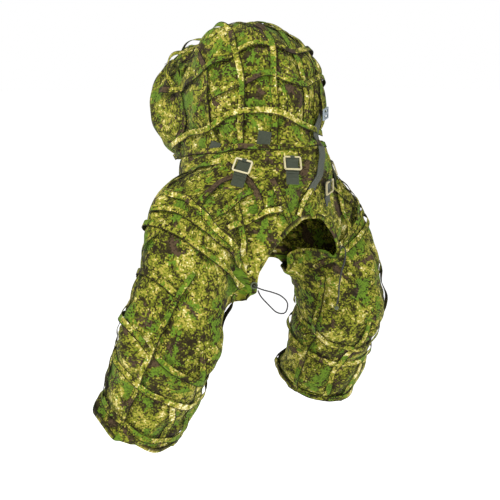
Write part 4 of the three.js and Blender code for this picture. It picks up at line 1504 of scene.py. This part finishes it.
def plain_soup_piece(name, soup, body, nodes, material=WEBBING):
    made = put_object(name, soup.points, soup.faces, material, soup.uv, {"edge": soup.edge})
    made.data.set_sharp_from_angle(angle=math.radians(50))
    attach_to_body(made, body)
    if nodes:
        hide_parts(*nodes)
    return made


def ring_axes(k):
    """The ring's hinge point, and its directions across, out and up."""
    joint = next(j for j in frame["joints"] if j["name"] == f"ring_{k}_swing")
    hinge, across = np.array(joint["pos_m"]), unit(np.array(joint["axis"]))
    corners = np.array([v.co for v in NODES[f"ring_buckle_{k}"].data.vertices])
    up = hinge - corners.mean(0)
    up = unit(up - (up @ across) * across)
    out = np.cross(up, across)
    if out @ outward(hinge) < 0:
        out = -out
    return hinge, across, out, up


TAB_WIDTH = 0.027
WINDOW_DEPTH = 0.0046
TAIL_DEPTH = 0.0092


def ring_webbing(k):
    """Webbing that fills the ring's window, goes round its upper bar, and ends in a tail below it."""
    hinge, across, out, up = ring_axes(k)
    soup = Soup()
    window = [hinge - up * down - out * WINDOW_DEPTH for down in np.linspace(-0.001, 0.033, 8)]
    ribbon(soup, window, [out] * 8, TAB_WIDTH, 0.0014, rim=0.001, clear=-1)
    tail = []
    for down in np.linspace(0.0, 0.055, 14):
        sink = WINDOW_DEPTH + 0.0017 + (
            TAIL_DEPTH - WINDOW_DEPTH - 0.0017
        ) * min(max((down - 0.030) / 0.02, 0), 1)
        tail.append(hinge - up * down - out * sink)
    ribbon(soup, tail, [out] * 14, TAB_WIDTH, 0.0014, rim=0.001, clear=0.0005)
    for down in (0.036, 0.040):
        seam = [hinge - up * down - out * 0.0062 + across * x for x in np.linspace(-0.012, 0.012, 7)]
        ribbon(soup, seam, [out] * 7, 0.0012, 0.0005, rim=0.0004, clear=-1)
    turns = np.linspace(0, 2 * math.pi, 20, endpoint=False)
    spokes = [out * math.cos(a) + up * math.sin(a) for a in turns]
    ribbon(
        soup,
        [hinge + n * 0.0022 for n in spokes],
        spokes,
        0.009,
        0.0009,
        rim=0.001,
        clear=-1,
        closed=True,
    )
    plain_soup_piece(f"ring_tab_{k}_webbing", soup, "yoke", [f"ring_tab_{k}"])


for k in range(1, 5):
    ring_webbing(k)


def turned_line(stops, steps):
    """A line on the cloth by rays from the body's centre line: stops are (degrees, height in mm)."""
    line = []
    for turn, z in curve_through([(t, z, 0) for t, z in stops], 100 / steps)[:, :2]:
        a = math.radians(turn)
        p = cast((0, 0, z / 1000), (math.cos(a), math.sin(a), 0))
        if p is not None:
            line.append(p)
    return np.array(line)


def webbing_on(name, body, line, width, nodes, lift=0.0032, thick=0.0014, extra=None):
    soup = Soup()
    ribbon(soup, line + outward(line) * lift, outward(line), width, thick, rim=0.001)
    if extra is not None:
        extra(soup)
    return plain_soup_piece(name, soup, body, nodes)


webbing_on(
    "hood_strap_webbing",
    "hood",
    turned_line([(117, 100), (109, 70), (102, 43)], 10),
    0.022,
    ["hood_strap"],
    0.005,
)
webbing_on(
    "hood_strap_tail_webbing",
    "yoke",
    turned_line([(101.5, 38), (99, 0), (96, -50)], 12),
    0.022,
    ["hood_strap_tail"],
    0.005,
)
webbing_on(
    "hood_tab_back_webbing",
    "hood",
    turned_line([(50, 72), (48, 44)], 6),
    0.027,
    ["hood_tab_back"],
    0.003,
)
webbing_on(
    "hood_tab_left_webbing", "hood", turned_line([(1, 48), (0, 33)], 4), 0.026, ["hood_tab_left"], 0.003
)
for name, z in zip(("upper", "lower"), CHEST_LEVELS):
    for side, sign in SIDES.items():
        line = []
        for x in np.linspace(0.003, 0.112, 16):
            line.append(cast((sign * x, 0, z), (0, -1, 0)))
        webbing_on(
            f"{name}_chest_webbing_{side}",
            "yoke",
            np.array(line),
            0.020,
            [f"{name}_webbing_{side}"],
            0.0056,
        )

# ---------------------------------------------------------------------------------------------
# Moulded parts keep their CAD shape, with softened edges.


def finish_node(name, material, bevel):
    node = NODES[name]
    node.data.materials.clear()
    node.data.materials.append(material)
    if bevel:
        soft = node.modifiers.new("soft_edges", "BEVEL")
        soft.width = bevel
        soft.segments = 3
        soft.limit_method = "ANGLE"
        soft.angle_limit = math.radians(40)


for k in range(1, 5):
    finish_node(f"ring_buckle_{k}", TAN, 0.0008)
for name in ("upper", "lower"):
    finish_node(f"{name}_buckle_socket", GREEN, 0.0006)
    finish_node(f"{name}_buckle_prongs", GREEN, 0.0006)
finish_node("hood_side_slider", GREY, 0.0006)
for name in ("left_hem_eyelet", "right_hem_eyelet", "right_cord_bead"):
    finish_node(name, GREEN, 0)
    for polygon in NODES[name].data.polygons:
        polygon.use_smooth = True

# ---------------------------------------------------------------------------------------------
# Floor and light.


FLOOR_Z = -1.45
FLOOR_HALF = 60


def floor_material():
    g = Graph("pale_floor")
    place = g.node("TexCoord", 3)
    speck = g.noise(place, 3, 4.0)
    base = g.mix(g.math("MULTIPLY", speck, 0.1), linear(252, 252, 252), linear(244, 244, 243))
    material = g.finish(base, 0.9, Specular_IOR_Level=0.0)
    g.shader.inputs["Emission Color"].default_value = (1, 1, 1, 1)
    g.shader.inputs["Emission Strength"].default_value = 0.75
    return material


def make_world():
    """A white room: white behind everything, and softer as a light on the cloth."""
    world = bpy.data.worlds.new("studio")
    SCENE.world = world
    world.use_nodes = True
    tree = world.node_tree
    background = tree.nodes["Background"]
    path = tree.nodes.new("ShaderNodeLightPath")
    shade = tree.nodes.new("ShaderNodeMapRange")
    tree.links.new(path.outputs["Is Camera Ray"], shade.inputs["Value"])
    shade.inputs["To Min"].default_value = 0.30
    shade.inputs["To Max"].default_value = 1.0
    tree.links.new(shade.outputs[0], background.inputs["Strength"])
    background.inputs["Color"].default_value = (1, 1, 1, 1)


def make_stage():
    h = FLOOR_HALF
    corners = [(-h, -h, FLOOR_Z), (h, -h, FLOOR_Z), (h, h, FLOOR_Z), (-h, h, FLOOR_Z)]
    floor = put_object("floor", corners, [(0, 1, 2, 3)], floor_material())
    make_world()
    lights = [
        ("key", (2.5, 0.6, 2.3), 0.8, 100), ("fill", (1.6, 2.4, 0.7), 1.6, 26),
        ("back", (-1.6, 2.2, 1.6), 1.2, 38), ("front", (0.2, -2.8, 1.6), 2.2, 26),
    ]
    for name, place, size, power in lights:
        data = bpy.data.lights.new(name, "AREA")
        data.energy, data.size = power, size
        lamp = bpy.data.objects.new(name, data)
        lamp.location = place
        lamp.rotation_euler = (Vector(place) - AIM).to_track_quat("Z", "Y").to_euler()
        COLLECTION.objects.link(lamp)


make_stage()
SCENE.view_settings.view_transform = "Standard"
